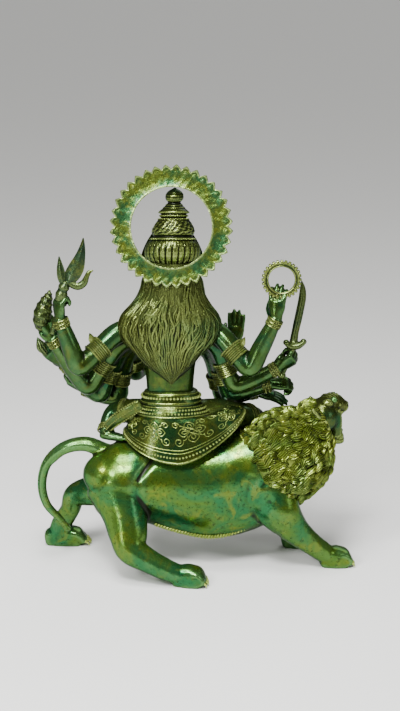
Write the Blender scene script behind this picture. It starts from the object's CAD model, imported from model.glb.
# %% [markdown]
# # A ten-armed goddess on a striding lion, in patinated bronze
# The real work is about forty centimetres tall. It was modelled in wax and cast in bronze as three pieces:
# the lion, the goddess who rides it, and the toothed ring behind her head. Acids gave it its green. This
# lesson makes every visible surface with formulas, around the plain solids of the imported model.

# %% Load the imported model
from collections import namedtuple

import bpy
import numpy as np
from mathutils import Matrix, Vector


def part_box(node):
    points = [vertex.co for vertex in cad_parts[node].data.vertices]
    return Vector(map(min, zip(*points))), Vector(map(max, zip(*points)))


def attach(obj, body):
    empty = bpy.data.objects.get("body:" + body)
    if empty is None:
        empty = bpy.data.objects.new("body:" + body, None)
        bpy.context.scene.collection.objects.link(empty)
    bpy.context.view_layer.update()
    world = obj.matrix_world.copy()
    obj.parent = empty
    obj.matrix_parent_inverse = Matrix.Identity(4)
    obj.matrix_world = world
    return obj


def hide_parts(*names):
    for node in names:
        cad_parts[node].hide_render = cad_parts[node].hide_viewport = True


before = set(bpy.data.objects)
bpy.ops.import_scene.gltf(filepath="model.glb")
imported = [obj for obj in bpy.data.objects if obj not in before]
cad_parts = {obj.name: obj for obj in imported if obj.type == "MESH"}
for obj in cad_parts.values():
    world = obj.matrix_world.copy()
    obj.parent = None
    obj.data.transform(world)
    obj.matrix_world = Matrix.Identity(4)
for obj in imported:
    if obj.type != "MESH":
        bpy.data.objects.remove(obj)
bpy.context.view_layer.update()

# %% [markdown]
# ## One measure for the whole figure
# A sculptor measures a figure in shares of its own height. Here the figure is 389.5 parts tall, from the
# soles of the paws to the tip of the crown. The size of a part in metres comes from the solid goddess,
# whose highest point is that tip, and the place of the figure comes from the middle of the solid ring.

# %% Parts and metres
FIGURE_PARTS = 389.5
HALO_SPOT = np.array([-24.7, -18, 356.5])  # the middle of the ring, in parts

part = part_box("goddess")[1].z / FIGURE_PARTS
halo_low, halo_high = (np.array(corner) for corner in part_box("halo"))
shift = (halo_low + halo_high) / 2 - part * HALO_SPOT
print("one part is", round(part * 1000, 4), "mm, and the figure is moved by", (shift * 1000).round(3), "mm")

# %% [markdown]
# ## Surfaces as grids
# Every form is a grid of points: ring after ring along the form, and point after point around each ring.
# Such a grid is worked out as one array, without a loop over its points. A `Skin` keeps the points and the
# faces, and a point that closes each end, so that no surface is open.

# %% Closed skins
Skin = namedtuple("Skin", "points quads tris relief")
X_WAY, Y_WAY, UP = np.eye(3)


def circle(count):
    """The angles of `count` points at even distances around a circle."""
    return 2 * np.pi * np.arange(count) / count


def bell(distance, reach):
    """The bell curve exp(-(d / reach)^2): 1 in the middle, and 0.37 at the distance `reach`."""
    return np.exp(-((distance / reach) ** 2))


def unit(vectors):
    """Each vector divided by its own length."""
    vectors = np.asarray(vectors, float)
    return vectors / np.maximum(np.linalg.norm(vectors, axis=-1, keepdims=True), 1e-12)


def triangles_of(skin):
    """The skin's faces as triangles: a quad gives two."""
    q = skin.quads
    return np.concatenate([q[:, [0, 1, 2]], q[:, [0, 2, 3]], skin.tris])


def outward(skin):
    """The same skin with its faces pointing out.

    The sum of a . (b x c) over the triangles is six times the volume, and it is negative inside out."""
    a, b, c = (skin.points[triangles_of(skin)[:, k]] for k in range(3))
    if np.einsum("ij,ij->", a, np.cross(b, c)) < 0:
        return skin._replace(quads=skin.quads[:, ::-1], tris=skin.tris[:, ::-1])
    return skin


# %% Skins from grids
def skin(grid, relief=None):
    """A closed skin from rings[ring, place around, xyz], with a point in the middle of each end ring."""
    n, m = grid.shape[:2]
    i, j = np.meshgrid(np.arange(n - 1), np.arange(m), indexing="ij")
    k = (j + 1) % m
    quads = np.stack([i * m + j, i * m + k, (i + 1) * m + k, (i + 1) * m + j], -1).reshape(-1, 4)
    j = np.arange(m)
    k = (j + 1) % m
    first = np.stack([np.full(m, n * m), k, j], -1)
    last = np.stack([np.full(m, n * m + 1), (n - 1) * m + j, (n - 1) * m + k], -1)
    points = np.concatenate([grid.reshape(-1, 3), grid[[0, -1]].mean(1)])
    if relief is not None:
        relief = np.concatenate([relief.reshape(-1), relief[[0, -1]].mean(1)])
    return outward(Skin(points, quads, np.concatenate([first, last]), relief))


def hoop(grid, relief=None):
    """A closed skin from rings whose last one joins the first, as a bracelet's sections do."""
    n, m = grid.shape[:2]
    i, j = np.meshgrid(np.arange(n), np.arange(m), indexing="ij")
    i2, j2 = (i + 1) % n, (j + 1) % m
    quads = np.stack([i * m + j, i * m + j2, i2 * m + j2, i2 * m + j], -1).reshape(-1, 4)
    relief = None if relief is None else relief.reshape(-1)
    return outward(Skin(grid.reshape(-1, 3), quads, np.zeros((0, 3), int), relief))


def together(skins):
    """Many skins as one, each with its points numbered after those of the skins before it."""
    starts = np.cumsum([0] + [len(s.points) for s in skins[:-1]])
    return Skin(
        np.concatenate([s.points for s in skins]),
        np.concatenate([s.quads + start for s, start in zip(skins, starts)]),
        np.concatenate([s.tris + start for s, start in zip(skins, starts)]),
        np.concatenate([wear(s) if s.relief is None else s.relief for s in skins]),
    )


# %% [markdown]
# ## What rubs bright and what stays dark
# On an old bronze the high places are rubbed bright and the hollows keep dark wax and green salts. So every
# skin carries one number per point: about 0.5 where it is flat, more on a ridge and less in a groove. It is
# found from the shape itself: where the neighbours of a point lie below it, the point is on a ridge.

# %% Normals and wear
def mean_around(skin, values):
    """For each point, the mean of `values` over the points that share an edge with it."""
    q, t = skin.quads, skin.tris
    pairs = [q[:, [k, (k + 1) % 4]] for k in range(4)] + [t[:, [k, (k + 1) % 3]] for k in range(3)]
    edges = np.concatenate(pairs)
    edges = np.concatenate([edges, edges[:, ::-1]])
    count = np.maximum(np.bincount(edges[:, 0], minlength=len(skin.points)), 1)
    columns = values.reshape(len(values), -1).T
    sums = [np.bincount(edges[:, 0], column[edges[:, 1]], len(skin.points)) for column in columns]
    return (np.stack(sums, -1) / count[:, None]).reshape(values.shape)


def normals(skin):
    """Each point's normal: the sum of its triangles' normals, each as long as its triangle is large."""
    corners = triangles_of(skin)
    a, b, c = (skin.points[corners[:, k]] for k in range(3))
    face = np.cross(b - a, c - a)
    where = corners.T.reshape(-1)
    sums = [np.bincount(where, np.tile(face[:, k], 3), len(skin.points)) for k in range(3)]
    return unit(np.stack(sums, -1))


WEAR_GAIN = 6.4  # how strongly a ridge or a groove counts


def wear(skin, rounds=2):
    """How far each point stands out between its neighbours, as a share of their distance, around 0.5."""
    step = mean_around(skin, skin.points) - skin.points
    diagonals = skin.points[skin.quads[:, 0]] - skin.points[skin.quads[:, 2]]
    size = np.maximum(np.linalg.norm(diagonals, axis=1).mean(), 1e-6)
    bend = -np.einsum("ij,ij->i", step, normals(skin)) / size
    for _ in range(rounds):
        bend = (bend + mean_around(skin, bend)) / 2
    return np.clip(0.5 + WEAR_GAIN * bend, 0, 1)


# %% [markdown]
# ## Limbs, sheaths and balls
# A *limb* is an ellipse carried along a smooth line: arms, legs, tails and tubes. A *sheath* is any closed
# form whose point is a function of a turn around it and a fall from its top to its bottom: hair, skirts and
# heads. The tables of rows below are the sculptor's measurements, and the curve between two rows is worked
# out.

# %% Smooth lines
def smooth_line(rows, places):
    """Reads a table at places from 0, its first row, to 1, its last row, by one smooth curve.

    A span is as long as the square root of the distance between its two rows. Within it each column
    follows a cubic, whose slope at a row is the mean of the slopes of the two spans beside it, each
    weighed by the length of the other."""
    rows = np.asarray(rows, float)
    span = np.linalg.norm(np.diff(rows[:, :3], axis=0), axis=1) ** 0.5
    slope = np.diff(rows, axis=0) / span[:, None]
    before, after = span[:-1, None], span[1:, None]
    slopes = np.vstack([slope[:1], (slope[:-1] * after + slope[1:] * before) / (before + after), slope[-1:]])
    place = np.clip(places, 0, 1) * len(span)
    i = np.minimum(place.astype(int), len(span) - 1)
    t = (place - i)[:, None]
    h = span[i][:, None]
    low = (1 + 2 * t) * (1 - t) ** 2 * rows[i] + t * (1 - t) ** 2 * h * slopes[i]
    return low + t * t * (3 - 2 * t) * rows[i + 1] + t * t * (t - 1) * h * slopes[i + 1]


def even_places(rows, count):
    """Places for `smooth_line` that lie at even distances along the line."""
    fine = np.linspace(0, 1, 40 * len(rows))
    points = smooth_line(rows, fine)[:, :3]
    length = np.concatenate([[0], np.cumsum(np.linalg.norm(np.diff(points, axis=0), axis=1))])
    return np.interp(np.linspace(0, length[-1], count), length, fine)


# %% Limbs
DOME_RINGS = 5  # rings that round off each end


def limb(rows, around=28, steps=48, across=Y_WAY, tip=0.6, power=2.0, lift=None, start=0.0, end=1.0):
    """A closed limb along rows [x, y, z, half width] or [x, y, z, half width, half height].

    P(u, v) = C(u) + a(u) c(v) S(u) + b(u) s(v) U(u). C is the smooth line, S the way `across` made
    square to it, and U square to both. c and s are cos v and sin v to the power 2 / `power`, with
    their signs: 2 gives an ellipse, 1 a lozenge and 4 a rounded block. Each end is a dome, `tip`
    times as long as the limb is thick. `lift(u, v)` stands the surface off."""
    places = start + (end - start) * even_places(rows, steps)
    line = smooth_line(rows, places)
    centre, a = line[:, :3], line[:, 3]
    b = line[:, 4] if line.shape[1] > 4 else a
    tangent = unit(np.gradient(centre, axis=0))
    side = unit(across - tangent * (tangent @ across)[:, None])
    up = np.cross(tangent, side)
    bend = np.arange(1, DOME_RINGS + 1) * np.pi / 2 / (DOME_RINGS + 1)
    which = np.concatenate([np.zeros(DOME_RINGS, int), np.arange(steps), np.full(DOME_RINGS, steps - 1)])
    scale = np.concatenate([np.cos(bend[::-1]), np.ones(steps), np.cos(bend)])[:, None]
    push = np.concatenate([-np.sin(bend[::-1]), np.zeros(steps), np.sin(bend)])
    push = push * tip * np.minimum(a, b)[which]
    angle = circle(around)
    c, s = (np.sign(f) * np.abs(f) ** (2 / power) for f in (np.cos(angle), np.sin(angle)))
    off = 0 if lift is None else lift(places[which][:, None], angle[None, :])
    wide = (a[which, None] * c + off * np.cos(angle)) * scale
    tall = (b[which, None] * s + off * np.sin(angle)) * scale
    middle = (centre[which] + tangent[which] * push[:, None])[:, None]
    return skin(middle + wide[..., None] * side[which, None] + tall[..., None] * up[which, None])


# %% Sheaths and balls
def turn_and_fall(around, falls):
    """Two grids that give every point of a sheath its turn, from 0 to 1 around it, and its fall."""
    return np.meshgrid(np.arange(around) / around, falls, indexing="xy")


def sheath(shape, around, down):
    """A closed skin from shape(turn, fall): `turn` goes 0 to 1 around it and `fall` 0 to 1 along it."""
    turn, fall = turn_and_fall(around, np.linspace(0, 1, down))
    return skin(np.stack(np.broadcast_arrays(*shape(turn, fall)), -1))


def ball(middle, radii, around=24, down=14):
    """An ellipsoid: x = rx sin p cos a, y = ry sin p sin a, z = rz cos p, from its middle."""
    x, y, z = middle
    rx, ry, rz = np.broadcast_to(radii, 3)

    def shape(turn, fall):
        p, a = (0.02 + 0.96 * fall) * np.pi, 2 * np.pi * turn
        return x + rx * np.sin(p) * np.cos(a), y + ry * np.sin(p) * np.sin(a), z + rz * np.cos(p)

    return sheath(shape, around, down)


# %% Many forms at once
def copies(shape, places, ways, sizes):
    """Copies of one small skin: copy k stands at places[k], turned by the rows of ways[k], sizes[k] large."""
    places, ways, sizes = (np.asarray(v, float) for v in (places, ways, sizes))
    turned = ways * sizes.reshape(len(places), -1, 1)
    points = places[:, None] + np.einsum("pi,kij->kpj", shape.points, turned)
    starts = (np.arange(len(places)) * len(shape.points))[:, None, None]
    relief = None if shape.relief is None else np.tile(shape.relief, len(places))
    quads, tris = (f[None] + starts for f in (shape.quads, shape.tris))
    return Skin(points.reshape(-1, 3), quads.reshape(-1, 4), tris.reshape(-1, 3), relief)


def strands(grid, relief):
    """Many closed skins from one array [strand, ring, place around, xyz] and the wear at its points."""
    first = skin(grid[0], relief[0])
    count = len(grid)
    starts = (np.arange(count) * len(first.points))[:, None, None]
    ends = np.stack([grid[:, 0].mean(1), grid[:, -1].mean(1)], 1)
    points = np.concatenate([grid.reshape(count, -1, 3), ends], 1).reshape(-1, 3)
    worn = relief.reshape(count, -1)
    worn = np.concatenate([worn, worn[:, :1], worn[:, -1:]], 1).reshape(-1)
    quads, tris = (f[None] + starts for f in (first.quads, first.tris))
    return Skin(points, quads.reshape(-1, 4), tris.reshape(-1, 3), worn)


# %% [markdown]
# ## From skins to Blender
# `foreach_set` hands a whole array to a mesh at once. A wax model has no seams where an arm joins a
# shoulder, so `melt` fuses skins that overlap: Blender's voxel remesh wraps one even net around them all,
# and a little smoothing eases the joins. What is carved afterwards moves the net's points along their
# normals.

# %% Meshes and melting
def to_mesh(name, body):
    """A Blender mesh from a skin whose points are already in the units that it needs."""
    mesh = bpy.data.meshes.new(name)
    loops = np.concatenate([body.quads.reshape(-1), body.tris.reshape(-1)])
    tri_starts = len(body.quads) * 4 + np.arange(len(body.tris)) * 3
    starts = np.concatenate([np.arange(len(body.quads)) * 4, tri_starts])
    mesh.vertices.add(len(body.points))
    mesh.vertices.foreach_set("co", body.points.astype(np.float32).reshape(-1))
    mesh.loops.add(len(loops))
    mesh.loops.foreach_set("vertex_index", loops.astype(np.int32))
    mesh.polygons.add(len(starts))
    mesh.polygons.foreach_set("loop_start", starts.astype(np.int32))
    mesh.update(calc_edges=True)
    return mesh


def melt(skins, voxel, ease=6):
    """One skin around all of them, with points about `voxel` parts apart, smoothed `ease` times."""
    bare = [s._replace(relief=np.zeros(len(s.points))) for s in skins]
    wax = bpy.data.objects.new("wax", to_mesh("wax", together(bare)))
    bpy.context.scene.collection.objects.link(wax)
    fuse = wax.modifiers.new("fuse", "REMESH")
    fuse.mode, fuse.voxel_size = "VOXEL", voxel
    soften = wax.modifiers.new("soften", "SMOOTH")
    soften.iterations, soften.factor = ease, 0.5
    mesh = wax.evaluated_get(bpy.context.evaluated_depsgraph_get()).data
    points = np.empty(len(mesh.vertices) * 3, np.float32)
    mesh.vertices.foreach_get("co", points)
    corners = np.empty(len(mesh.loops), np.int32)
    mesh.loops.foreach_get("vertex_index", corners)
    bpy.data.objects.remove(wax)
    no_tris = np.zeros((0, 3), int)
    return outward(Skin(points.reshape(-1, 3).astype(float), corners.reshape(-1, 4), no_tris, None))


def carve(body, amount):
    """Moves each point along its normal by `amount` parts."""
    return body._replace(points=body.points + normals(body) * np.asarray(amount)[:, None])


# %% A finished piece
total_faces = 0


def piece(name, skins, material, crisp=50):
    """A finished piece in metres, in its place. Edges sharper than `crisp` degrees keep their line."""
    global total_faces
    body = together(skins)
    mesh = to_mesh(name, body._replace(points=shift + part * body.points))
    mesh.attributes.new("relief", "FLOAT", "POINT").data.foreach_set("value", body.relief.astype(np.float32))
    mesh.polygons.foreach_set("use_smooth", np.ones(len(mesh.polygons), bool))
    mesh.set_sharp_from_angle(angle=np.radians(crisp))
    mesh.materials.append(material)
    made = bpy.data.objects.new(name, mesh)
    bpy.context.scene.collection.objects.link(made)
    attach(made, "root")
    count = 2 * len(body.quads) + len(body.tris)
    total_faces += count
    print(f"{name}: {count} triangles")
    return made


# %% [markdown]
# ## The patina
# Bronze is coloured by heating it and brushing on acids, and then it is waxed. The colour is never even:
# cloudy emerald and olive, ochre where the brush was dry, dark wax in the hollows, and bare metal where
# hands have rubbed. The nodes below read the wear of each point and noise at four sizes on Object
# coordinates, which are fixed to the casting. A corner with a wall close by stays dark too. A thin coat
# stands for the wax.

# %% The patina's nodes
def colour(red, green, blue):
    """A colour as its red, green and blue shares of light."""
    return (red, green, blue, 1.0)


def wire(tree, kind, inputs=None, **settings):
    """Adds a node: `settings` are its own, and `inputs` holds values or the sockets that feed it."""
    made = tree.nodes.new(kind)
    for key, value in settings.items():
        setattr(made, key, value)
    for key, value in (inputs or {}).items():
        if isinstance(value, bpy.types.NodeSocket):
            tree.links.new(value, made.inputs[key])
        else:
            made.inputs[key].default_value = value
    return made


def blend_colours(tree, share, first, second):
    """One colour turning into another as `share` goes from 0 to 1."""
    mixed = wire(tree, "ShaderNodeMix", data_type="RGBA")
    for index, value in ((0, share), (6, first), (7, second)):
        if isinstance(value, bpy.types.NodeSocket):
            tree.links.new(value, mixed.inputs[index])
        else:
            mixed.inputs[index].default_value = value
    return mixed.outputs[2]


def ramp(tree, value, low, high, bottom=0.0, top=1.0):
    """A value between `low` and `high` stretched to run from `bottom` to `top`, with soft ends."""
    inputs = {"Value": value, "From Min": low, "From Max": high, "To Min": bottom, "To Max": top}
    return wire(tree, "ShaderNodeMapRange", inputs, interpolation_type="SMOOTHSTEP").outputs["Result"]


def noise(tree, place, scale, detail=4.0, rough=0.55, bent=0.0):
    """Cloudy noise on the casting, with `scale` clouds to the metre."""
    inputs = {"Vector": place, "Scale": scale, "Detail": detail, "Roughness": rough, "Distortion": bent}
    return wire(tree, "ShaderNodeTexNoise", inputs).outputs["Fac"]


def arithmetic(tree, operation, *values):
    """The result of a Math node."""
    return wire(tree, "ShaderNodeMath", dict(enumerate(values)), operation=operation).outputs["Value"]


# %% The patina
DARK = (0.008, 0.010, 0.005)  # old wax and salts in the hollows
WAX_TINT = colour(0.12, 0.22, 0.09)  # the tint of the glint at a low angle
WAX_WEIGHT, WAX_ROUGHNESS = 0.15, 0.17
CORNER_REACH = 0.005  # how near, in metres, a wall must be to keep a corner dark
METAL_SHARE = 0.8
PIT_DEPTH = 0.0006  # in metres
SPECK_SCALE, GRAIN_SCALE = 900.0, 330.0


def patina(name, green, second, ochre, worn, dark=DARK, ochre_share=0.5, cloud=26.0, rough=0.3, pits=0.25):
    """A waxed bronze finish from five colours: two greens, ochre, worn metal and the dark of the hollows."""
    green, second, ochre, worn, dark = (colour(*shares) for shares in (green, second, ochre, worn, dark))
    material = bpy.data.materials.new(name)
    material.use_nodes = True
    tree = material.node_tree
    shader = tree.nodes["Principled BSDF"]
    place = wire(tree, "ShaderNodeTexCoord").outputs["Object"]
    relief = wire(tree, "ShaderNodeAttribute", attribute_name="relief").outputs["Fac"]
    clouds = noise(tree, place, cloud, 5.0, 0.6, 0.6)
    streaks = noise(tree, place, cloud * 3.1, 4.0, 0.62, 1.0)
    specks = noise(tree, place, SPECK_SCALE, 3.0, 0.6)
    grain = noise(tree, place, GRAIN_SCALE, 5.0, 0.65)
    # Clouds of two greens, then ochre in streaks, then dark grains
    base = blend_colours(tree, ramp(tree, clouds, 0.38, 0.6), green, second)
    dry = arithmetic(tree, "MULTIPLY", ramp(tree, streaks, 0.5, 0.68), ochre_share)
    base = blend_colours(tree, dry, base, ochre)
    base = blend_colours(tree, ramp(tree, grain, 0.5, 0.7, 0.0, 0.7), base, dark)
    # Dark in grooves and corners, and rubbed metal on ridges
    corner = wire(tree, "ShaderNodeAmbientOcclusion", {"Distance": CORNER_REACH}, samples=6).outputs["AO"]
    near_wall = ramp(tree, corner, 0.75, 0.2, 0.0, 0.9)
    shaded = arithmetic(tree, "MAXIMUM", ramp(tree, relief, 0.46, 0.16), near_wall)
    base = blend_colours(tree, shaded, base, dark)
    ridge = ramp(tree, relief, 0.56, 0.86)
    rubbed = arithmetic(tree, "MULTIPLY", ridge, ramp(tree, specks, 0.32, 0.62, 0.35, 1.0))
    base = blend_colours(tree, rubbed, base, worn)
    tree.links.new(base, shader.inputs["Base Color"])
    # Hollows and grains are duller than the rest
    uneven = ramp(tree, grain, 0.3, 0.7, rough - 0.07, rough + 0.1)
    tree.links.new(arithmetic(tree, "MULTIPLY_ADD", shaded, 0.3, uneven), shader.inputs["Roughness"])
    shader.inputs["Metallic"].default_value = METAL_SHARE
    shader.inputs["Specular Tint"].default_value = WAX_TINT
    shader.inputs["Coat Weight"].default_value = WAX_WEIGHT
    shader.inputs["Coat Roughness"].default_value = WAX_ROUGHNESS
    height = arithmetic(tree, "MULTIPLY_ADD", specks, 0.35, grain)
    bump = wire(tree, "ShaderNodeBump", {"Height": height, "Strength": pits, "Distance": PIT_DEPTH})
    tree.links.new(bump.outputs["Normal"], shader.inputs["Normal"])
    print("finish", name)
    return material


# %% Three of the finishes
lion_green = patina(
    "lion_green",
    green=(0.014, 0.110, 0.036), second=(0.062, 0.130, 0.015), ochre=(0.140, 0.170, 0.014),
    worn=(0.085, 0.200, 0.060), ochre_share=0.6, cloud=20.0, rough=0.2,
)
mane_olive = patina(
    "mane_olive",
    green=(0.060, 0.110, 0.014), second=(0.125, 0.165, 0.016), ochre=(0.21, 0.215, 0.018),
    worn=(0.46, 0.56, 0.13), ochre_share=0.45, rough=0.34, pits=0.35,
)
hair_olive = patina(
    "hair_olive",
    green=(0.009, 0.044, 0.014), second=(0.038, 0.049, 0.007), ochre=(0.076, 0.079, 0.009),
    worn=(0.21, 0.265, 0.07), ochre_share=0.45, cloud=17.0, rough=0.21,
)

# %% [markdown]
# ## The lion's body
# The lion strides to the right with its front low. Trunk, legs, pads and toes are limbs, melted into one
# skin. It is then carved: creases around the thigh, folds behind the shoulder and the swell of the muscles.

# %% The lion's measurements
TRUNK = [
    [-101, -2, 98, 15, 17],
    [-97, -3, 98, 24, 26],
    [-93, -4, 97, 34, 36],
    [-74, -4, 92, 40, 43],
    [-46, -2, 90, 39, 44],
    [-16, 0, 85, 38, 50],
    [14, 0, 83, 38, 54],
    [42, 2, 89, 38, 54],
    [66, 4, 100, 38, 50],
    [92, 4, 116, 34, 44],
]
NEAR_HIND_LEG = [
    [-80, -20, 90, 24, 32],
    [-72.5, -34, 66, 19, 23],
    [-68.5, -45, 47, 15.5, 19.5],
    [-66, -51, 35.5, 14, 16],
    [-48, -56, 24.5, 12, 12.5],
    [-28, -58.5, 15, 11, 11],
    [-8, -60, 9, 10, 8],
]
FAR_HIND_LEG = [
    [-80, 18, 88, 22, 26],
    [-103, 27, 71, 16, 18],
    [-127, 37, 60, 11, 12.5],
    [-133, 43, 43, 9.5, 10.5],
    [-143.5, 50, 23, 9.5, 11],
    [-146, 53, 12, 10, 11],
]
NEAR_FRONT_LEG = [
    [74, -16, 88, 22, 30],
    [83, -24, 64, 17, 22],
    [98, -22, 45.5, 13, 15.5],
    [115, -16, 28.5, 10.5, 12],
    [131, -11, 15, 10, 10.5],
    [141, -8, 9, 10, 8.5],
]
FAR_FRONT_LEG = [
    [74, 24, 88, 20, 28],
    [86, 32, 58, 14, 17],
    [95, 39, 34, 10.5, 11],
    [101, 44, 16, 10, 10],
    [105, 46, 9, 10, 8],
]
TAIL = [
    [-92, -4, 122, 8.5],
    [-112, -4, 130, 7.6],
    [-133, -3, 126, 6.6],
    [-151.6, 1, 109, 5.2],
    [-158.4, 5, 84, 4.7],
    [-154.5, 9, 61, 4.4],
    [-142, 16, 42, 3.9],
    [-135, 20, 31, 3.2],
]
# Each paw: where its heel stands, the way it points in degrees from +X, its length and its half width
PAWS = [
    ((-14, -57.9), -3, 25, 13),
    ((-147, 53), 2, 34, 11.5),
    ((137, -8), 8, 24, 12.5),
    ((100, 46), 8, 22, 12),
]
PAW_HEIGHT = 21
TOES = 4


# %% Paws
def paw_spots(heel, heading, length, width):
    """The way across a paw, and a function from shares of its length, half width and height to a point."""
    way = np.array([np.cos(np.radians(heading)), np.sin(np.radians(heading)), 0])
    side = np.cross(UP, way)
    root = np.array([*heel, 0.0])

    def spot(ahead, aside, high):
        return root + way * ahead * length + side * aside * width + UP * high * PAW_HEIGHT

    return side, spot


def toe_place(toe):
    """How far a toe stands aside, and how far the outer toes lie behind the middle ones."""
    return (toe - 1.5) * 0.5, 0.05 * abs(toe - 1.5)


def paw(heel, heading, length, width):
    """The pad of a paw and four toes, each a limb that rises to a knuckle and dips to the ground."""
    side, spot = paw_spots(heel, heading, length, width)
    pad = [
        [*spot(-0.3, 0, 0.36), 0.7 * width, 0.45 * PAW_HEIGHT],
        [*spot(0.15, 0, 0.42), 0.92 * width, 0.58 * PAW_HEIGHT],
        [*spot(0.6, 0, 0.36), 1.0 * width, 0.5 * PAW_HEIGHT],
    ]
    forms = [limb(pad, across=side, steps=20, power=3.2)]
    for toe in range(TOES):
        aside, back = toe_place(toe)
        rows = [
            [*spot(0.3 - back, aside * 0.8, 0.62), 0.24 * width],
            [*spot(0.58 - back, aside, 0.66), 0.29 * width],
            [*spot(0.78 - back, aside, 0.48), 0.28 * width],
            [*spot(0.88 - back, aside, 0.22), 0.27 * width],
        ]
        forms.append(limb(rows, around=16, steps=24))
    return forms


def claw(heel, heading, length, width, toe):
    """A short curved claw at the end of a toe."""
    _, spot = paw_spots(heel, heading, length, width)
    aside, back = toe_place(toe)
    rows = [
        [*spot(0.92 - back, aside, 0.26), 1.7],
        [*spot(1.0 - back, aside, 0.2), 1.3],
        [*spot(1.05 - back, aside, 0.07), 0.5],
    ]
    return limb(rows, around=10, steps=10)


paws = [form for row in PAWS for form in paw(*row)]
claws = [claw(*row, toe) for row in PAWS for toe in range(TOES)]
print(len(paws), "pads and toes,", len(claws), "claws")

# %% Carve the lion's body
BODY_VOXEL = 1.8
# Creases on the near side, as [x, z] points, then their depth and half width
CREASES = [
    ([[-45, 122], [-52, 113], [-58, 105]], 1.5, 2.8),
    ([[-46, 121], [-57, 107], [-60, 92], [-55, 80], [-48, 68]], 1.6, 4.2),
    ([[72, 80], [66, 66], [72, 52], [82, 42]], 1.3, 5.0),
    ([[38, 112], [33, 88], [38, 66]], 0.75, 5.0),
    ([[54, 104], [49, 82], [55, 62]], 0.9, 5.0),
    ([[66, 98], [62, 80]], 0.7, 4.0),
    ([[4, 108], [-2, 84], [6, 62]], 0.5, 7.0),
]
# Muscles on the near side: x, z, half length, half height, rise
MUSCLES = [
    (-76, 100, 20, 20, 2.5),
    (-69, 70, 12, 16, 1.5),
    (36, 104, 9, 22, 1.4),
    (60, 98, 8, 24, 1.6),
    (92, 66, 14, 14, 1.8),
]


def line_distance(flat, corners):
    """The shortest distance from each point of a plane to a smooth line through corners."""
    corners = np.column_stack([corners, np.zeros(len(corners))])
    line = smooth_line(corners, np.linspace(0, 1, 50))[:, :2]
    return np.sqrt(((flat[:, None] - line[None]) ** 2).sum(-1).min(1))


lion = melt(
    [
        limb(TRUNK, 48, 90, tip=0.7),
        limb(NEAR_HIND_LEG, 32, 50),
        limb(FAR_HIND_LEG, 32, 50),
        limb(NEAR_FRONT_LEG, 32, 50),
        limb(FAR_FRONT_LEG, 32, 40),
        limb(TAIL[:4], 24, 40),
        ball((-89, -17, 102), (26, 21, 23), 40, 26),
        *paws,
    ],
    BODY_VOXEL, ease=9,
)
flat = lion.points[:, [0, 2]]
near = np.clip((-2 - lion.points[:, 1]) / 12, 0, 1)  # 1 on the near side and 0 on the far side
off = np.zeros(len(flat))
for corners, depth, half in CREASES:
    off -= near * depth * bell(line_distance(flat, corners), half)
for x, z, wide, tall, rise in MUSCLES:
    off += near * rise * np.exp(-(((flat[:, 0] - x) / wide) ** 2) - ((flat[:, 1] - z) / tall) ** 2)
lion = carve(lion, off)
lion.points[:, 2] = np.maximum(lion.points[:, 2], 0)
lion_body = piece("lion_body", [lion], lion_green)
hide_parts("lion")
piece("lion_claws", claws, mane_olive)

# %% [markdown]
# ## The tail and the seam of fur under the belly
# The tail leaves the rump in an arc and comes down to the far hind foot, where it ends in a brush. A groove
# runs along the side that faces the viewer, as if two strands lay side by side. Both it and the rope of fur
# under the belly are limbs whose `lift` is a ripple: for the rope, a wave that winds around as it goes
# along.

# %% Tail and belly rope
TAIL_BRUSH = 0.95  # where the brush begins, as a share of the tail
TAIL_GROOVE = 4.1  # the angle around the tail, in radians, at which the groove runs


def tail_lift(place, angle):
    """A groove along the tail, and nine ridges around the brush at its end."""
    brush = np.clip((place - TAIL_BRUSH) / 0.08, 0, 1)
    groove = -1.5 * bell(angle - TAIL_GROOVE, 0.42) * np.clip(place / 0.15, 0, 1)
    return groove * (1 - brush) + brush * (0.6 + 0.55 * np.cos(9 * angle + 16 * place))


piece("lion_tail", [limb(TAIL, 32, 150, tip=1.6, lift=tail_lift)], lion_green)

trunk_line = smooth_line(TRUNK, np.linspace(0, 1, 200))
ROPE_SPAN = (-42, 60)  # from behind the navel to between the front legs
ROPE_TURN = np.radians(31)  # how far it lies from the lowest line of the belly, to the near side
along_belly = np.linspace(*ROPE_SPAN, 12)
y, z, a, b = (np.interp(along_belly, trunk_line[:, 0], trunk_line[:, k]) for k in (1, 2, 3, 4))
rope_y, rope_z = y - a * np.sin(ROPE_TURN), z - b * np.cos(ROPE_TURN)
BELLY_LINE = np.stack([along_belly, rope_y, rope_z, np.full(12, 2.6)], -1)
STRAND_TURNS = 34


def rope_lift(place, angle):
    """Two strands that wind around the rope: the lift is a wave that turns as it goes along."""
    return 0.8 * np.cos(2 * angle + 2 * np.pi * STRAND_TURNS * place)


piece("belly_rope", [limb(BELLY_LINE, 12, 320, lift=rope_lift)], mane_olive)

# %% [markdown]
# ## The mane
# A caster builds a mane by pressing combed wax locks onto a smooth core, row over row, starting at the back
# so that each row covers the roots of the next. The core here is an egg. Each lock is a closed leaf. Nine
# points across its top rise and fall in turn, as the marks of a comb do, and its tip stands off the row
# below it. Every fourth lock ends in a small curl.

# %% The mane's core
MANE_CENTRE = np.array([90.0, 3, 116])
MANE_DEEP, MANE_ACROSS = 49, 46
MANE_WAY = unit([-45, -7, -30])  # from the face to the back of the mane
MANE_CHIN = unit(np.cross(MANE_WAY, Y_WAY))
MANE_NEAR = np.cross(MANE_WAY, MANE_CHIN)
BEARD = 0.22  # how much further the mane hangs down before the front legs
CHEST_START, CHEST_REACH = 92, 26  # where the trunk's table ends, and how far its round chest goes on


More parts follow.
